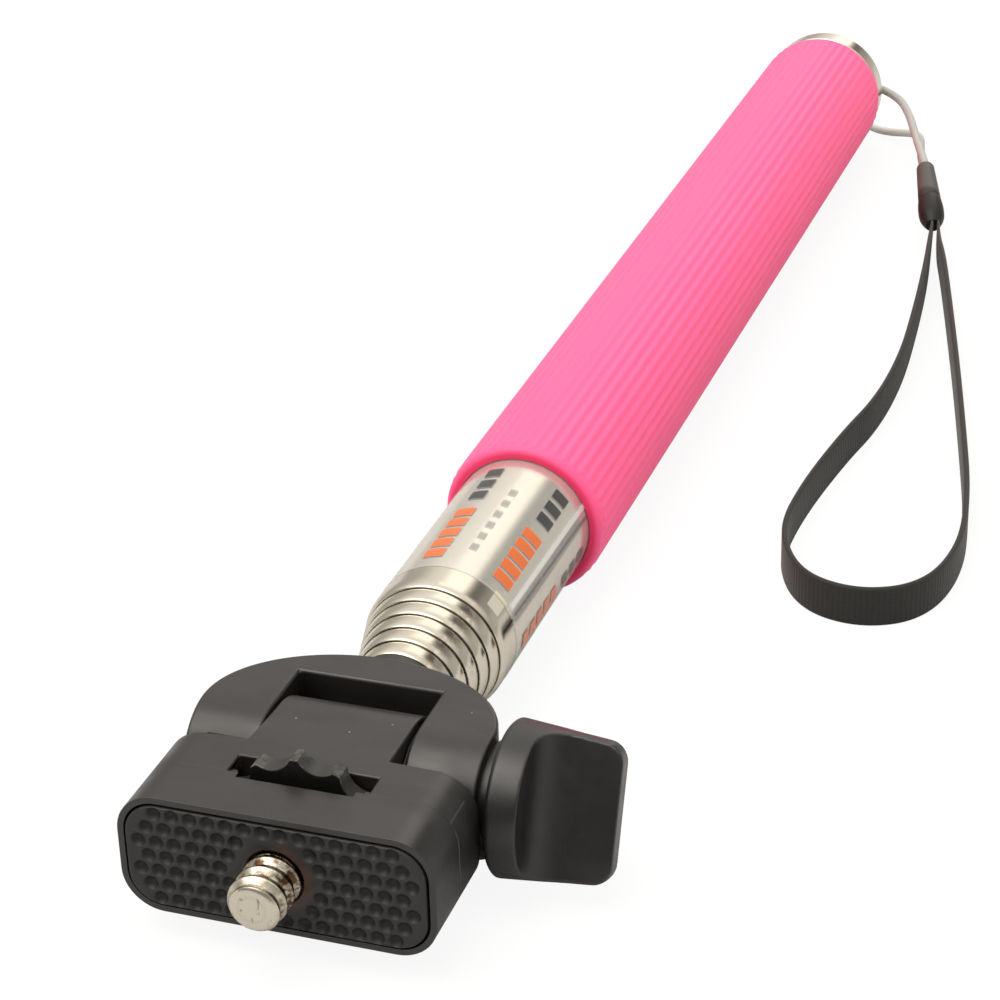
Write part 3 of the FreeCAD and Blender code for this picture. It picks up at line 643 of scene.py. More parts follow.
def lathe(outline, axis="Y", steps=128):
    """Spin a closed outline of (along, radius) pairs about the stick's or the hinge's axis."""
    bm = bmesh.new()
    level = HINGE_Y if axis == "X" else 0.0
    corners = []
    for along, radius in outline:
        corners.append(bm.verts.new((radius, along, 0) if axis == "Y" else (along, level + radius, 0)))
    edges = []
    for first, second in zip(range(len(outline)), [*range(1, len(outline)), 0]):
        if outline[first][1] > 1e-6 or outline[second][1] > 1e-6:
            edges.append(bm.edges.new((corners[first], corners[second])))
    bmesh.ops.spin(bm, geom=corners + edges, cent=(0, level, 0), axis=(0, 1, 0) if axis == "Y" else (1, 0, 0),
                   angle=2 * math.pi, steps=steps, use_merge=True)
    bmesh.ops.remove_doubles(bm, verts=bm.verts, dist=MERGE)
    bmesh.ops.recalc_face_normals(bm, faces=bm.faces)
    return bm


def working(bm):
    """Linked object of a closed shape, for a modifier to work on."""
    bmesh.ops.recalc_face_normals(bm, faces=bm.faces)
    mesh = bpy.data.meshes.new("working")
    bm.to_mesh(mesh)
    bm.free()
    item = bpy.data.objects.new("working", mesh)
    bpy.context.scene.collection.objects.link(item)
    return item


def taken_back(item, *helpers):
    """The shape that a working object's modifiers give; the object and its helpers go."""
    bpy.context.view_layer.update()
    made = bmesh.new()
    made.from_object(item, bpy.context.evaluated_depsgraph_get())
    for used in (item, *helpers):
        mesh = used.data
        bpy.data.objects.remove(used)
        bpy.data.meshes.remove(mesh)
    return made


def combine(bm, tool, operation="DIFFERENCE", merged=True):
    """Cut, join or intersect two closed shapes."""
    item, other = working(bm), working(tool)
    modifier = item.modifiers.new("combine", "BOOLEAN")
    modifier.operation = operation
    modifier.solver = "EXACT"
    modifier.object = other
    made = taken_back(item, other)
    bmesh.ops.remove_doubles(made, verts=made.verts, dist=MERGE)
    if merged:
        bmesh.ops.dissolve_limit(made, angle_limit=math.radians(0.4), verts=made.verts, edges=made.edges)
    return made


def soften(bm, cell, rounds):
    """Rebuild a closed shape in even cells and round all of its edges."""
    item = working(bm)
    even = item.modifiers.new("even", "REMESH")
    even.mode = "VOXEL"
    even.voxel_size = cell
    smooth = item.modifiers.new("smooth", "SMOOTH")
    smooth.factor = 0.5
    smooth.iterations = rounds
    return taken_back(item)


def settle(item, body, nodes):
    """Hang a finished object on its body, for the nodes that it stands for."""
    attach(item, body)
    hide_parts(*nodes)
    return item


def piece(bm, name, look, body, nodes, edge=0.0, sharp=32.0, steps=3, share=None):
    """Make a shape in millimetres a piece of the stick.

    Where edge is given, edges sharper than sharp degrees are rounded by it, or by the share of it
    that share finds for their place.
    """
    bmesh.ops.recalc_face_normals(bm, faces=bm.faces)
    if edge:
        weights = bm.edges.layers.float.new("bevel_weight_edge")
        for line in bm.edges:
            if line.calc_face_angle(0.0) > math.radians(sharp):
                line[weights] = share((line.verts[0].co + line.verts[1].co) / 2) if share else 1.0
    bmesh.ops.scale(bm, vec=(MM, MM, MM), verts=bm.verts)
    mesh = bpy.data.meshes.new(name)
    bm.to_mesh(mesh)
    bm.free()
    mesh.materials.append(finish(look))
    mesh.shade_smooth()
    if not edge:
        mesh.set_sharp_from_angle(angle=math.radians(sharp))
    item = bpy.data.objects.new(name, mesh)
    bpy.context.scene.collection.objects.link(item)
    if edge:
        bevel = item.modifiers.new("edges", "BEVEL")
        bevel.width = edge * MM
        bevel.segments = steps
        bevel.limit_method = "WEIGHT"
        bevel.harden_normals = True
        bevel.use_clamp_overlap = False
        bevel.loop_slide = False
    return settle(item, body, nodes)


def nurbs(name, points, flat=False):
    """Smooth curve whose control points are a route in millimetres."""
    curve = bpy.data.curves.new(name, "CURVE")
    curve.dimensions = "2D" if flat else "3D"
    spline = curve.splines.new("NURBS")
    spline.points.add(len(points) - 1)
    for control, place in zip(spline.points, points):
        control.co = (*[v * MM for v in place], 1.0)
    spline.order_u = 3
    spline.use_endpoint_u = True
    curve.resolution_u = 16
    return curve


def read_curve(curve):
    """Mesh of a curve as Blender draws it."""
    item = bpy.data.objects.new("working", curve)
    bpy.context.scene.collection.objects.link(item)
    bpy.context.view_layer.update()
    mesh = bpy.data.meshes.new_from_object(item.evaluated_get(bpy.context.evaluated_depsgraph_get()))
    bpy.data.objects.remove(item)
    return mesh


# Pieces


def tube_radius(index):
    """Outer radius of a tube, 1 for the outer one."""
    s = sizes()
    return s["tube_radius"] - s["tube_step"] * (index - 1)


def tube_tail(index):
    """Outline of the flange at a sliding tube's rear end."""
    flange = tube_radius(index - 1) - 0.35
    return [(INNER_END_Y - FLANGE_WIDTH, tube_radius(index)), (INNER_END_Y - FLANGE_WIDTH, flange),
            (INNER_END_Y, flange)]


TUBE_BODIES = ["grip"] + ["section_%d" % k for k in range(2, TUBES + 1)]


class STICK_OT_tubes(bpy.types.Operator):
    """Six crimped tubes and the plain innermost one"""

    bl_idname = "stick.tubes"
    bl_label = "Tubes"

    def execute(self, context):
        for index in range(1, TUBES):
            radius, lip = tube_radius(index), tube_radius(index + 1) + 0.05
            bore = radius - TUBE_WALL
            front = NOSE_Y - NOSE_STEP * (index - 1)
            tail = tube_tail(index) if index > 1 else [(GRIP_END_Y, radius)]
            outline = arc((front + NOSE_ROUND, lip + 0.05), (NOSE_ROUND, radius - lip - 0.05), 180, 90, 9)
            outline += [*tail, (tail[-1][0], bore), (front + NOSE_ROUND, bore)]
            outline += [(front + 0.6, lip), (front, lip)]
            name = "tube_%d" % index
            piece(lathe(outline), name + "_polished", "nickel", TUBE_BODIES[index - 1], [name], sharp=40.0)
        radius = tube_radius(TUBES)
        bore = radius - TUBE_WALL
        bm = lathe([(COLLAR_END_Y, bore), (COLLAR_END_Y, radius), *tube_tail(TUBES), (INNER_END_Y, bore)])
        bm = combine(bm, rod("Z", 0.82, -8, 8, (0, PIN_Y, 0), segments=32))
        piece(bm, "tube_7_polished", "nickel", "section_7", ["tube_7"], sharp=40.0)
        return {"FINISHED"}


class STICK_OT_film(bpy.types.Operator):
    """Clear film round the outer tube"""

    bl_idname = "stick.film"
    bl_label = "Film"

    def execute(self, context):
        gap, thickness = 0.012, 0.098
        inner = sizes()["tube_radius"] + gap
        outer = inner + thickness
        bm = lathe([(FILM_Y, inner), (FILM_Y, outer), (FILM_END_Y, outer), (FILM_END_Y, inner)])
        piece(bm, "film_printed", "clear_film", "grip", ["label_film"], edge=0.03, steps=2)
        return {"FINISHED"}


class STICK_OT_grip(bpy.types.Operator):
    """Ribbed rubber grip with rolled lips"""

    bl_idname = "stick.grip"
    bl_label = "Grip"

    def execute(self, context):
        s = sizes()
        ribs, bore = s["grip_ribs"], 9.03
        valley = s["grip_radius"] - s["rib_depth"]
        lip, rear_lip, inner_lip = 0.9, 1.5, 0.35
        # Rings stand closer where the ribs rise from the lips.
        fade_start, fade_length = 0.8, 1.0
        outline = [(GRIP_Y, bore)]
        outline += arc((GRIP_Y + lip, valley - lip), (lip, lip), 180, 90, 8)
        outline += [(GRIP_Y + v, valley) for v in (1.1, 1.3, 1.6, 2.0, 2.6)]
        outline += [(GRIP_Y + (GRIP_END_Y - GRIP_Y) * i / 8, valley) for i in range(1, 8)]
        outline += [(GRIP_END_Y - v, valley) for v in (3.4, 2.7, 2.2, 1.8)]
        outline += arc((GRIP_END_Y - rear_lip, valley - lip), (rear_lip, lip), 90, 0, 10)
        outline += arc((GRIP_END_Y - inner_lip, bore + inner_lip), (inner_lip, inner_lip), 0, -90, 4)
        bm = lathe(outline, steps=ribs * 8)
        for vert in bm.verts:
            radius = math.hypot(vert.co.x, vert.co.z)
            if radius < valley - 0.01:
                continue
            inside = min(vert.co.y - GRIP_Y, GRIP_END_Y - vert.co.y - 0.3)
            share = min(1.0, max(0.0, (inside - fade_start) / fade_length))
            share = share * share * (3 - 2 * share)
            beat = (math.atan2(vert.co.x, vert.co.z) / (2 * math.pi) * ribs + 0.5) % 1.0
            swell = s["rib_depth"] * (0.5 - 0.5 * math.cos(2 * math.pi * beat)) * share
            vert.co.x *= (radius + swell) / radius
            vert.co.z *= (radius + swell) / radius
        piece(bm, "grip_ribbed", "grip_rubber", "grip", ["grip_sleeve"], sharp=60.0)
        return {"FINISHED"}


class STICK_OT_end_cap(bpy.types.Operator):
    """Metal cap with the lug that holds the cord"""

    bl_idname = "stick.end_cap"
    bl_label = "End cap"

    def execute(self, context):
        plug, rim, corner = 8.57, 10.1, 0.9
        plug_y = INNER_END_Y + 0.3
        outline = [(plug_y, 0), (plug_y, plug), (GRIP_END_Y, plug), (GRIP_END_Y, rim - 0.2)]
        outline += [(GRIP_END_Y + 0.2, rim), (CAP_END_Y - corner, rim)]
        outline += arc((CAP_END_Y - corner, rim - corner), (corner, corner), 90, 0, 8)[1:]
        outline += [(CAP_END_Y, 0)]
        lug_radius, lug_half, hole = 4.0, 1.6, 1.2
        lug = rod("X", lug_radius, -lug_half, lug_half, (0, LUG_Y, 0), segments=64)
        foot = block((-lug_half, CAP_END_Y - lug_half, -lug_radius), (lug_half, LUG_Y, lug_radius))
        bm = combine(lathe(outline), combine(lug, foot, "UNION"), "UNION")
        bm = combine(bm, rod("X", hole, -4, 4, (0, LUG_Y, 0), segments=32))
        piece(bm, "end_cap_plated", "nickel", "grip", ["end_cap"], edge=0.35)
        return {"FINISHED"}


# The ferrule's axis, and the routes of cord and strap as the photograph shows them.
FERRULE_START = Vector((23.2, 228.6, -3.6))
FERRULE_END = Vector((27.7, 213.2, -7.65))
ALONG = (FERRULE_END - FERRULE_START).normalized()
UPRIGHT = ALONG.cross(Vector((0, 0, 1))).normalized().cross(ALONG)
CORD_OFFSET = UPRIGHT * 0.73
UPPER_END = tuple(FERRULE_START + ALONG + CORD_OFFSET)
LOWER_END = tuple(FERRULE_START + ALONG - CORD_OFFSET)
UPPER_ROUTE = [(0, LUG_Y, 0), (6.4, LUG_Y, 0), (12.9, 255.6, -1.0), (16.2, 249.0, -1.7),
               (18.7, 241.6, -2.3), (21.0, 234.8, -2.7), UPPER_END]
LOWER_ROUTE = [(0, LUG_Y, 0), (-5.6, LUG_Y, 0), (-10.4, 262.4, -3.4), (-9.2, 268.2, -6.6),
               (-3.0, 270.4, -9.0), (3.2, 266.4, -9.9), (9.0, 260.8, -9.9), (16.0, 258.0, -8.5),
               (18.3, 250.2, -6.5), (19.8, 242.2, -5.4), (21.3, 235.0, -4.8), LOWER_END]
UPPER_LENGTH, LOWER_LENGTH = 0.0434, 0.0787
STRAP_ROUTE = [(27.3, 215.2), (28.6, 206.0), (30.6, 192.0), (32.5, 174.0), (33.9, 157.0), (33.6, 141.5),
               (31.4, 129.0), (29.6, 112.0), (29.7, 98.8), (34.8, 88.1), (43.3, 85.3), (50.8, 89.7),
               (53.2, 101.5), (51.2, 117.0), (47.0, 136.0), (42.3, 156.5), (36.9, 179.0), (32.6, 196.5),
               (29.9, 205.9), (28.2, 215.2)]


class STICK_OT_cord(bpy.types.Operator):
    """Two strands of elastic cord from the lug to the ferrule"""

    bl_idname = "stick.cord"
    bl_label = "Cord"

    def execute(self, context):
        width = sizes()["cord_width"] * MM
        strands = (("strap_cord_upper", UPPER_ROUTE, UPPER_LENGTH),
                   ("strap_cord_lower", LOWER_ROUTE, LOWER_LENGTH))
        for node, points, reach in strands:
            curve = nurbs(node + "_elastic", points)
            curve.bevel_depth = width / 2
            curve.bevel_resolution = 5
            curve.use_fill_caps = True
            curve.materials.append(finish("cord"))
            item = bpy.data.objects.new(node + "_elastic", curve)
            context.scene.collection.objects.link(item)
            settle(item, "grip", [node])
        return {"FINISHED"}


class STICK_OT_ferrule(bpy.types.Operator):
    """Two halves of the ferrule that joins cord and strap"""

    bl_idname = "stick.ferrule"
    bl_label = "Ferrule"

    def execute(self, context):
        reach = (FERRULE_END - FERRULE_START).length
        axes = Matrix((ALONG.cross(UPRIGHT), ALONG, UPRIGHT)).transposed().to_4x4()
        place = Matrix.Translation(FERRULE_START) @ axes
        joint = 9.5
        cap = [(0, 0), (0, 1.2), (0.1, 1.4), (0.35, 1.5), (2.5, 1.6), (5.0, 1.71), (7.5, 1.82), (9.3, 1.89)]
        cap += [(joint, 1.82), (joint, 0)]
        body = [(joint, 0), (joint, 1.8), (9.65, 1.9), (11.0, 2.05), (12.2, 2.13), (13.4, 2.13)]
        body += [(14.4, 2.05), (15.1, 1.87), (15.7, 1.62), (16.2, 1.40), (reach, 1.2), (reach, 0)]
        halves = ((cap, "ferrule_cap_satin", "ferrule_light", "strap_ferrule_cap"),
                  (body, "ferrule_body_satin", "ferrule_dark", "strap_ferrule_body"))
        for outline, name, look, node in halves:
            bm = lathe(outline, steps=64)
            bmesh.ops.transform(bm, matrix=place, verts=bm.verts)
            piece(bm, name, look, "grip", [node], sharp=50.0)
        return {"FINISHED"}


class STICK_OT_strap(bpy.types.Operator):
    """Flat woven strap, standing on its edge"""

    bl_idname = "stick.strap"
    bl_label = "Strap"

    def execute(self, context):
        s = sizes()
        width, thickness = s["strap_width"] * MM, s["strap_thickness"] * MM
        points = [(x, y, 0.0) for x, y in STRAP_ROUTE]
        line = read_curve(nurbs("strap_line", points, flat=True))
        path = [Vector((v.co.x, v.co.y, STRAP_Z * MM)) for v in line.vertices]
        curve = nurbs("strap_band", points, flat=True)
        curve.bevel_depth = thickness / 2
        curve.bevel_resolution = 2
        curve.extrude = width / 2 - thickness / 2
        controls = curve.splines[0].points
        tapered = (0.42, 0.78, 0.78, 0.42)
        for control, share in zip([*controls[:2], *controls[-2:]], tapered):
            control.radius = share
        mesh = read_curve(curve)
        mesh.name = "strap_woven"
        rings = len(path)
        around = len(mesh.vertices) // rings
        if around * rings != len(mesh.vertices):
            raise RuntimeError("the strap's band isn't made of whole rings")
        reached = [0.0]
        for first, second in zip(path, path[1:]):
            reached.append(reached[-1] + (second - first).length)
        along = mesh.attributes.new("along", "FLOAT", "POINT")
        for vert in mesh.vertices:
            along.data[vert.index].value = reached[vert.index // around]
        mesh.transform(Matrix.Translation((0, 0, STRAP_Z * MM)))
        mesh.materials.clear()
        mesh.materials.append(finish("webbing"))
        mesh.shade_smooth()
        mesh.set_sharp_from_angle(angle=math.radians(50))
        item = bpy.data.objects.new("strap_woven", mesh)
        context.scene.collection.objects.link(item)
        settle(item, "grip", ["strap_webbing"])
        return {"FINISHED"}


def ear_share(place):
    """How far an edge of the yoke is rounded: little at the bores, the nut's pocket and the spigot."""
    near_bolt = math.hypot(place.y - HINGE_Y, place.z) < 5.5
    return 0.15 if near_bolt or place.y > YOKE_BACK_Y + 0.5 else 1.0


class STICK_OT_yoke(bpy.types.Operator):
    """Forked yoke that carries the head"""

    bl_idname = "stick.yoke"
    bl_label = "Yoke"

    def execute(self, context):
        bm = bmesh.new()
        ear_end_y = HINGE_Y + 0.25
        centre = Matrix.Translation((0, ear_end_y, -HALF_HEIGHT))
        outline = Matrix.Diagonal((EAR_X, YOKE_BACK_Y - ear_end_y, 1.0, 1.0))
        bmesh.ops.create_circle(bm, cap_ends=True, segments=160, radius=1.0, matrix=centre @ outline)
        bmesh.ops.bisect_plane(bm, geom=bm.verts[:] + bm.edges[:] + bm.faces[:], dist=0.0001,
                               plane_co=(0, ear_end_y, 0), plane_no=(0, -1, 0), clear_outer=True)
        pushed(bm, (0, 0, 2 * HALF_HEIGHT))
        bm = combine(bm, block((-EAR_X, HINGE_Y, -HALF_HEIGHT), (EAR_X, ear_end_y, HALF_HEIGHT)), "UNION")
        nose = rod("X", HALF_HEIGHT, -EAR_X, EAR_X, (0, HINGE_Y, 0), segments=160)
        nose = combine(nose, block((-EAR_X - 3, HINGE_Y + 0.1, -9), (EAR_X + 3, YOKE_BACK_Y, 9)))
        bm = combine(bm, nose, "UNION")
        bm = combine(bm, block((-WINDOW_X, HINGE_Y - 10, -9), (WINDOW_X, WINDOW_Y, 9)))
        collar, spigot = 5.9, tube_radius(TUBES) - TUBE_WALL - 0.03
        bm = combine(bm, rod("Y", collar, WINDOW_Y + 2.0, COLLAR_END_Y), "UNION")
        bm = combine(bm, rod("Y", spigot, COLLAR_END_Y - 1.0, COLLAR_END_Y + 12.0), "UNION")
        bm = combine(bm, rod("Z", 0.8, -8, 8, (0, PIN_Y, 0), segments=32))
        bm = combine(bm, rod("X", HINGE_BORE, -20, 20, (0, HINGE_Y, 0), segments=64))
        nut_radius, nut_depth = 8.0 / math.sqrt(3), 4.4
        pocket = rod("X", nut_radius + 0.03, -20, -EAR_X + nut_depth, (0, HINGE_Y, 0), segments=6)
        turned_on_hinge(pocket, 90)
        bm = combine(bm, pocket)
        piece(bm, "yoke_moulded", "head_plastic", "section_7", ["yoke"], edge=sizes()["plastic_edge"],
              share=ear_share)
        return {"FINISHED"}


class STICK_OT_knob(bpy.types.Operator):
    """Clamp knob with its finger paddle"""

    bl_idname = "stick.knob"
    bl_label = "Knob"

    def execute(self, context):
        s = sizes()
        radius, end_radius, corner, bore = s["knob_radius"], s["knob_radius"] - 1.1, 2.3, 2.5
        end_x = KNOB_X + s["knob_length"]
        corner_radius = end_radius + (radius - end_radius) / s["knob_length"] * corner
        outline = [(KNOB_X, bore), (KNOB_X, radius - 0.5), (KNOB_X + 0.5, radius)]
        outline += arc((end_x - corner, corner_radius - corner), (corner, corner), 90, 0, 8)
        outline += [(end_x, 0), (KNOB_X + 2.0, 0), (KNOB_X + 2.0, bore)]
        bm = lathe(outline, axis="X")
        rim_x = KNOB_X + 3.7
        root, half_paddle = 4.0, 1.25
        slope = arc((rim_x + root, half_paddle + root), (root, root), 180, 270, 12)
        profile = [(rim_x, radius + 2), *slope, (end_x + 2, half_paddle), (end_x + 2, radius + 2)]
        for side in (-1, 1):
            tool = bmesh.new()
            tool.faces.new([tool.verts.new((x, HINGE_Y - radius - 2, side * z)) for x, z in profile])
            pushed(tool, (0, 2 * radius + 4, 0))
            bm = combine(bm, tool)
        turned_on_hinge(bm, 67)
        bm = soften(bm, cell=0.17, rounds=7)
        piece(bm, "knob_moulded", "knob_plastic", "knob", ["tilt_knob"], sharp=80.0)
        return {"FINISHED"}


def seam_share(place):
    """How far an edge of the head's shells is rounded: little at the seam between them."""
    if abs(place.y - SEAM_Y) < 0.2 and place.z < 5.3:
        return 0.5
    return 0.2 if abs(place.y - SEAM_Y) < 1.3 or place.y < 1.0 else 1.0


class STICK_OT_head(bpy.types.Operator):
    """Front and rear shell of the head block"""

    bl_idname = "stick.head"
    bl_label = "Head"

    def execute(self, context):
        s = sizes()
        width, corner, height = s["block_width"], s["block_corner"], 2 * HALF_HEIGHT
        pad_wall, pad_floor = 0.75, 1.7
        screw_bore, tail_bore, clearance, screw_head, thread = 2.65, 2.05, 1.2, 2.2, 1.12
        cheek_x, cheek_half, cheek_depth = 7.1, 6.6, 1.2
        front = rounded_bar(width, height, corner, 0.25, SEAM_Y)
        recess = rounded_bar(width - 2 * pad_wall, height - 2 * pad_wall, corner - pad_wall, -1.0, pad_floor)
        front = combine(front, recess)
        front = combine(front, rod("Y", screw_bore, 0, SEAM_Y + 1, segments=64))
        for side in (-SHELL_SCREW_X, SHELL_SCREW_X):
            front = combine(front, rod("Y", clearance, 1, SEAM_Y + 1, (side, 0, 0), segments=32))
            front = combine(front, rod("Y", screw_head, 1, 2.8, (side, 0, 0), segments=32))
        front = combine(front, rod("Y", WHEEL_HOLLOW, SEAM_Y - 0.9, SEAM_Y + 1, segments=128))
        piece(front, "head_front_moulded", "head_plastic", "head", ["head_front_shell"], edge=0.3,
              share=seam_share)
        rear = rounded_bar(width, height, corner, SEAM_Y, SHOULDER_Y)
        tongue = rod("X", HALF_HEIGHT, -TONGUE_X, TONGUE_X, (0, HINGE_Y, 0), segments=160)
        stem = block((-TONGUE_X, SLOT_END_Y + 1, -HALF_HEIGHT), (TONGUE_X, HINGE_Y, HALF_HEIGHT))
        rear = combine(rear, combine(tongue, stem, "UNION"), "UNION")
        rear = combine(rear, block((-TONGUE_X, SEAM_Y - 1, -9), (TONGUE_X, SLOT_END_Y, 9)))
        for side in (-1, 1):
            low, high = sorted((cheek_x * side, (TONGUE_X + 0.2) * side))
            cheek = block((low, SEAM_Y, -cheek_half), (high, SEAM_Y + cheek_depth, cheek_half))
            rear = combine(rear, cheek, "UNION")
        rear = combine(rear, rod("Y", WHEEL_HOLLOW, SEAM_Y - 1, SLOT_END_Y, segments=128))
        rear = combine(rear, rod("Y", tail_bore, SLOT_END_Y - 1, 13.5, segments=48))
        rear = combine(rear, rod("X", HINGE_BORE, -9, 9, (0, HINGE_Y, 0), segments=64))
        for side in (-SHELL_SCREW_X, SHELL_SCREW_X):
            rear = combine(rear, rod("Y", thread, SEAM_Y - 1, 11.7, (side, 0, 0), segments=32))
        piece(rear, "head_rear_moulded", "head_plastic", "head", ["head_rear_shell"], edge=0.3,
              share=seam_share)
        return {"FINISHED"}


class STICK_OT_pad(bpy.types.Operator):
    """Dimpled rubber pad under the camera"""

    bl_idname = "stick.pad"
    bl_label = "Pad"

    def execute(self, context):
        s = sizes()
        width, height = s["block_width"] - 2.0, 2 * HALF_HEIGHT - 2.0
        corner = s["block_corner"] - 1.0
        thickness, hole = 1.7, 3.3
        bm = rounded_bar(width, height, corner, 0.0, thickness)
        bm = combine(bm, rod("Y", hole, -1, 3, segments=64))
        front = [e for e in bm.edges if max(abs(v.co.y) for v in e.verts) < 0.005]
        rim = [e for e in front if e.calc_face_angle(0.0) > 0.7]
        bmesh.ops.bevel(bm, geom=rim, offset=0.22, segments=4, clamp_overlap=False, **HARD_BEVEL)
        radius, depth = s["dimple_radius"], s["dimple_depth"]
        ball = (radius ** 2 + depth ** 2) / (2 * depth)
        half = math.degrees(math.asin(radius / ball))
        outline = [(-0.5, 0), (-0.5, radius + 0.15), (-0.01, radius + 0.13), (0.02, radius + 0.04)]
        outline += arc((depth - ball, 0), (ball, ball), half - 7.0, 0, 5)
        stamp = bpy.data.meshes.new("working")
        shape = lathe(outline, steps=20)
        shape.to_mesh(stamp)
        shape.free()
        tool = bmesh.new()
        for row in range(-3, 4):
            for column in range(-9, 10):
                x = s["dimple_pitch"] * (column + (0.5 if row % 2 else 0.0))
                z = s["dimple_row"] * row
                past_x = max(0.0, abs(x) - width / 2 + corner)
                past_z = max(0.0, abs(z) - height / 2 + corner)
                past_corner = math.hypot(past_x, past_z) > corner - radius * 0.9
                past_end = abs(x) > width / 2 - radius * 0.6
                at_screw = math.hypot(x, z) < hole + 0.15 + radius * 1.5
                if past_corner or past_end or at_screw:
                    continue
                ready = len(tool.verts)
                tool.from_mesh(stamp)
                tool.verts.ensure_lookup_table()
                bmesh.ops.translate(tool, vec=(x, 0, z), verts=tool.verts[ready:])
        bpy.data.meshes.remove(stamp)
        bm = combine(bm, tool, merged=False)
        piece(bm, "pad_dimpled", "pad_rubber", "head", ["rubber_pad"], sharp=40.0)
        return {"FINISHED"}


class STICK_OT_screw(bpy.types.Operator):
    """Threaded camera screw"""

    bl_idname = "stick.screw"
    bl_label = "Camera screw"

    def execute(self, context):
        s = sizes()
        pitch, crest = s["thread_pitch"], s["thread_radius"]
        root = crest - 0.34 * pitch
        tip = -5.9
        start = tip - 1.4 * pitch
        profile = [(0.0, root), (0.12, root), (0.20, root + 0.06), (0.40, crest - 0.08), (0.46, crest),
                   (0.54, crest), (0.60, crest - 0.08), (0.80, root + 0.06), (0.88, root), (1.0, root)]
        bm = bmesh.new()
        corners = [bm.verts.new((r, start + share * pitch, 0)) for share, r in profile]
        edges = [bm.edges.new(pair) for pair in zip(corners, corners[1:])]
        turns, steps = 7, 72
        bmesh.ops.spin(bm, geom=corners + edges, cent=(0, 0, 0), axis=(0, 1, 0), angle=2 * math.pi * turns,
                       dvec=(0, pitch / steps, 0), steps=steps * turns)
        bmesh.ops.remove_doubles(bm, verts=bm.verts, dist=MERGE)
        for level, side in ((tip - 0.5, -1), (0.9, 1)):
            cut = bmesh.ops.bisect_plane(bm, geom=bm.verts[:] + bm.edges[:] + bm.faces[:], dist=0.0001,
                                         plane_co=(0, level, 0), plane_no=(0, side, 0), clear_outer=True)
            rim = [e for e in cut["geom_cut"] if isinstance(e, bmesh.types.BMEdge)]
            bmesh.ops.edgeloop_fill(bm, edges=rim)
        envelope = [(tip, 0), (tip, 2.15), (-5.87, 2.33), (-5.75, 2.6), (-5.55, 2.8), (-5.3, 2.95)]
        envelope += [(-4.9, 3.4), (0.45, 3.4), (0.45, 0)]
        bm = combine(bm, lathe(envelope, steps=96), "INTERSECT")
        shank = lathe([(-2.0, 0), (-2.0, 2.3), (0.4, 2.3), (0.4, 2.6), (WHEEL_END_Y, 2.6), (WHEEL_END_Y, 2.0),
                       (WHEEL_END_Y + 3.0, 2.0), (WHEEL_END_Y + 3.0, 0)], steps=64)
        bm = combine(bm, shank, "UNION")
        piece(bm, "screw_threaded", "screw_nickel", "screw", ["camera_screw"], sharp=38.0)
        return {"FINISHED"}


class STICK_OT_wheel(bpy.types.Operator):
    """Lobed finger wheel"""

    bl_idname = "stick.wheel"
    bl_label = "Finger wheel"

    def execute(self, context):
        s = sizes()
        radius, lobes = s["wheel_radius"], s["wheel_lobes"]
        dip_radius, dip_depth, turned = 2.65, 1.15, math.radians(-3.0)
        reach = radius + dip_radius - dip_depth
        outline = [(WHEEL_Y, 0), (WHEEL_Y, radius), (WHEEL_END_Y, radius), (WHEEL_END_Y, 0)]
        bm = lathe(outline, steps=lobes * 24)
        for vert in bm.verts:
            if math.hypot(vert.co.x, vert.co.z) < 1.0:
                continue
            turn = math.degrees(math.atan2(vert.co.x, vert.co.z)) * lobes / 360.0
            away = ((turn % 1.0) - 0.5) * 2 * math.pi / lobes
            across = reach * math.sin(away)
            rim = radius
            if abs(across) < dip_radius:
                rim = min(radius, reach * math.cos(away) - math.sqrt(dip_radius ** 2 - across ** 2))
            vert.co.x *= rim / radius
            vert.co.z *= rim / radius
        bmesh.ops.rotate(bm, cent=(0, 0, 0), matrix=Matrix.Rotation(turned, 3, "Y"), verts=bm.verts)
        piece(bm, "wheel_lobed", "wheel_plastic", "screw", ["thumbwheel"], edge=0.12, sharp=25.0)
        return {"FINISHED"}


class STICK_OT_hardware(bpy.types.Operator):
    """Finishes of the nut, bolt, washers, pin, screws and friction rings"""

    bl_idname = "stick.hardware"
    bl_label = "Hardware"

    def execute(self, context):
        washers = ("knob_washer", "friction_washer_left", "friction_washer_right")
        looks = {name: "steel" for name in ("yoke_pin", "lock_nut", "pivot_bolt", "shell_screws")}
        looks.update({name: "knob_plastic" for name in washers})
        looks.update({"friction_sleeve_%d" % k: "sleeve_plastic" for k in range(2, TUBES + 1)})
        for name, look in looks.items():
            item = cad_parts[name]
            item.data.materials.clear()
            item.data.materials.append(finish(look))
        return {"FINISHED"}


# Brightness of the room over the stick: angle from straight up towards +X, and level.
SKY = ((-90.0, 0.50), (-75.0, 0.55), (-60.0, 0.60), (-40.0, 1.00), (-20.0, 1.20), (-10.0, 1.80), (18.0, 1.80),
       (25.0, 0.55), (31.0, 0.17), (41.0, 0.20), (50.0, 0.40), (65.0, 0.42), (75.0, 0.62), (90.0, 0.55))
# Where the bright ceiling light stands.
KEY_WAY = Vector((-0.25, -0.42, 0.87)).normalized()

# Square lamps: name, place and target in metres, size and power.
LAMPS = (("softbox_top", (-0.12, -0.05, 0.88), (0.0, 0.10, 0.0), 0.60, 1.6),
         ("softbox_left", (-0.80, 0.05, 0.45), (0.0, 0.10, 0.0), 0.40, 1.2),
         ("softbox_right", (0.80, 0.15, 0.35), (0.0, 0.12, 0.0), 0.50, 2.2))

# The photograph's camera: its lens, its place in millimetres and its right, up and back.
CAMERA_LENS = 100.8
CAMERA_PLACE = (104.071, -217.849, 168.942)
CAMERA_AXES = ((0.94599, 0.32306, -0.02706), (-0.12699, 0.44606, 0.88595), (0.29828, -0.83466, 0.46300))


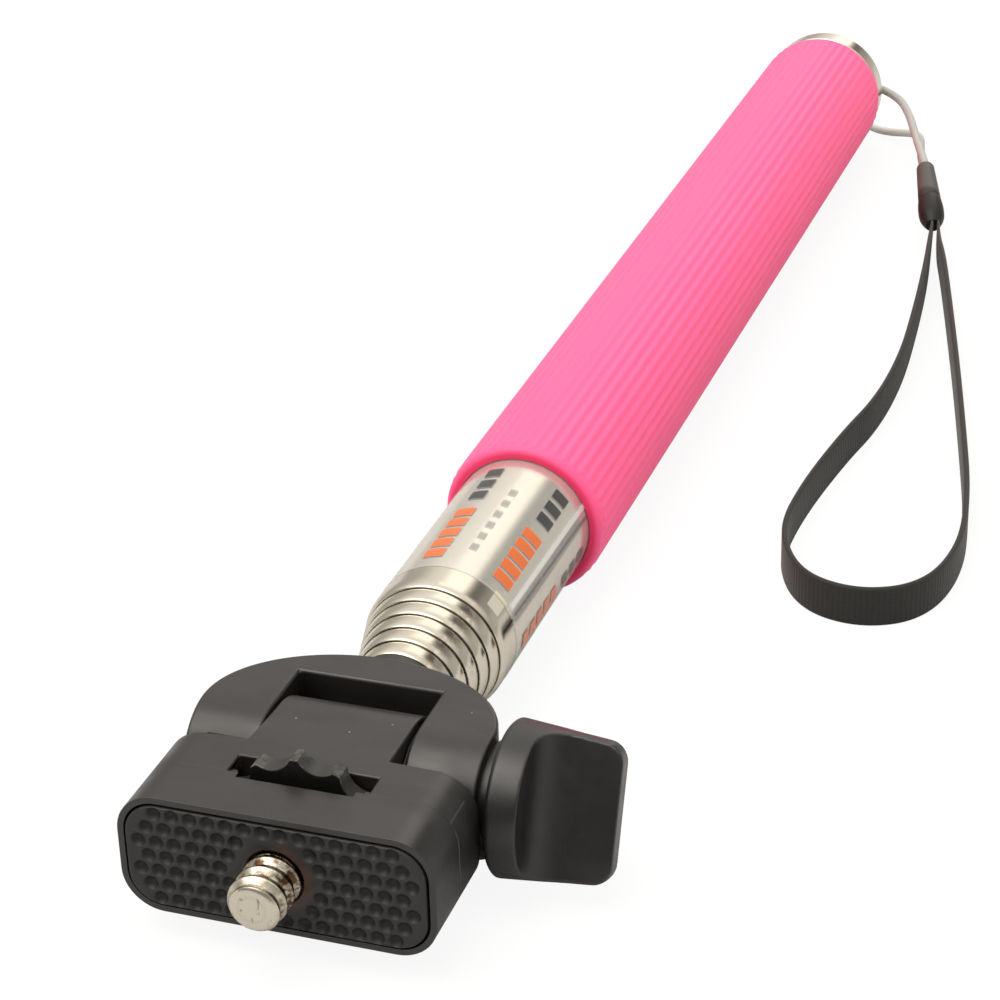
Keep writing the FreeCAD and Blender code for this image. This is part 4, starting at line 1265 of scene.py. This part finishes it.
class STICK_OT_stage(bpy.types.Operator):
    """Pale floor, soft light and the camera"""

    bl_idname = "stick.stage"
    bl_label = "Stage"

    def execute(self, context):
        scene = context.scene
        self.make_floor(scene)
        self.make_world(scene)
        self.make_lamps(scene)
        self.make_camera(scene)
        scene.view_settings.view_transform = "Standard"
        return {"FINISHED"}

    def make_floor(self, scene):
        bm = bmesh.new()
        bmesh.ops.create_grid(bm, x_segments=4, y_segments=4, size=3.0,
                              matrix=Matrix.Translation((0, 0, FLOOR_Z * MM - 0.00002)))
        mesh = bpy.data.meshes.new("floor")
        bm.to_mesh(mesh)
        bm.free()
        made, g = new_material("floor_white")
        rays = ("Is Camera Ray", "Is Transmission Ray", "Is Glossy Ray")
        seen, through, mirrored = g.outputs("ShaderNodeLightPath", rays)
        direct = seen.most(through)
        pale = scene.stick_colours.floor
        tint = g.mix(mirrored, [v * 0.50 for v in pale], [v * 0.54 for v in pale])
        tint = g.mix(direct, tint, pale)
        matte = g.add("ShaderNodeBsdfDiffuse", values={"Color": tint})
        glow = g.add("ShaderNodeEmission", values={"Color": (1.0, 1.0, 1.0), "Strength": 1.0})
        both = g.add("ShaderNodeMixShader", values={0: direct * 0.90, 1: matte, 2: glow})
        g.add("ShaderNodeOutputMaterial", values={0: both})
        mesh.materials.append(made)
        item = bpy.data.objects.new("floor", mesh)
        scene.collection.objects.link(item)

    def make_world(self, scene):
        world = bpy.data.worlds.new("studio")
        world.use_nodes = True
        scene.world = world
        g = Graph(world.node_tree)
        way = g.add("ShaderNodeTexCoord", output=0)
        side, back, up = g.parts(way)
        turn = side.degrees(up)
        # A ramp's values end at 1, so the profile is halved in it.
        share = g.add("ShaderNodeValToRGB", {"stops": [((w + 90.0) / 180.0, v / 2.0) for w, v in SKY]},
                      {0: (turn + 90.0) / 180.0})
        behind = g.ramp(back, 0.40, 0.70)
        over = 0.50 + g.ramp(up, 0.30, 0.80) * 0.60
        key = g.add("ShaderNodeVectorMath", {"operation": "DOT_PRODUCT"}, {0: way, 1: KEY_WAY}, output=1)
        over = (over + g.ramp(key, 0.81, 0.96) * 3.1) * (0.40 + g.ramp(back, -0.85, -0.35) * 0.60)
        level = over * (1.0 - behind) + share * 2.0 * 0.92 * behind
        seen = g.outputs("ShaderNodeLightPath", ["Is Camera Ray"])[0]
        strength = level * (1.0 - seen) + seen
        warm = g.mix(seen, (1.0, 0.955, 0.895), (1.0, 1.0, 1.0))
        sky = g.add("ShaderNodeBackground", values={"Color": warm, "Strength": strength})
        g.add("ShaderNodeOutputWorld", values={0: sky})

    def make_lamps(self, scene):
        for name, place, target, size, power in LAMPS:
            data = bpy.data.lights.new(name, "AREA")
            data.shape = "RECTANGLE"
            data.size = size
            data.size_y = size
            data.energy = power
            item = bpy.data.objects.new(name, data)
            item.visible_glossy = False
            item.location = place
            item.rotation_euler = (Vector(target) - Vector(place)).to_track_quat("-Z", "Y").to_euler()
            scene.collection.objects.link(item)

    def make_camera(self, scene):
        data = bpy.data.cameras.new("camera")
        data.lens = CAMERA_LENS
        data.sensor_width = 36.0
        data.clip_start = 0.01
        data.clip_end = 10.0
        item = bpy.data.objects.new("camera", data)
        turn = Matrix(CAMERA_AXES).transposed().to_4x4()
        item.matrix_world = Matrix.Translation(Vector(CAMERA_PLACE) * MM) @ turn
        scene.collection.objects.link(item)
        scene.camera = item


STEPS = (STICK_OT_stage, STICK_OT_ferrule, STICK_OT_cord, STICK_OT_strap, STICK_OT_tubes, STICK_OT_film,
         STICK_OT_grip, STICK_OT_end_cap, STICK_OT_yoke, STICK_OT_knob, STICK_OT_head, STICK_OT_pad,
         STICK_OT_screw, STICK_OT_wheel, STICK_OT_hardware)


class STICK_PT_panel(bpy.types.Panel):
    """Sizes, colours and steps of the selfie stick"""

    bl_idname = "STICK_PT_panel"
    bl_label = "Selfie stick"
    bl_space_type = "VIEW_3D"
    bl_region_type = "UI"
    bl_category = "Stick"

    def draw(self, context):
        layout = self.layout
        for title, group in (("Sizes", context.scene.stick_sizes), ("Colours", context.scene.stick_colours)):
            layout.label(text=title)
            for key in own_keys(group):
                layout.prop(group, key)
        layout.label(text="Pieces")
        for step in STEPS:
            layout.operator(step.bl_idname)


CLASSES = (StickSizes, StickColours, *STEPS, STICK_PT_panel)


def register():
    for item in CLASSES:
        bpy.utils.register_class(item)
    bpy.types.Scene.stick_sizes = PointerProperty(type=StickSizes)
    bpy.types.Scene.stick_colours = PointerProperty(type=StickColours)


def unregister():
    del bpy.types.Scene.stick_colours
    del bpy.types.Scene.stick_sizes
    for item in reversed(CLASSES):
        bpy.utils.unregister_class(item)


def main():
    """Make every piece in order."""
    register()
    for step in STEPS:
        group, name = step.bl_idname.split(".")
        getattr(getattr(bpy.ops, group), name)()


if __name__ == "__main__":
    main()
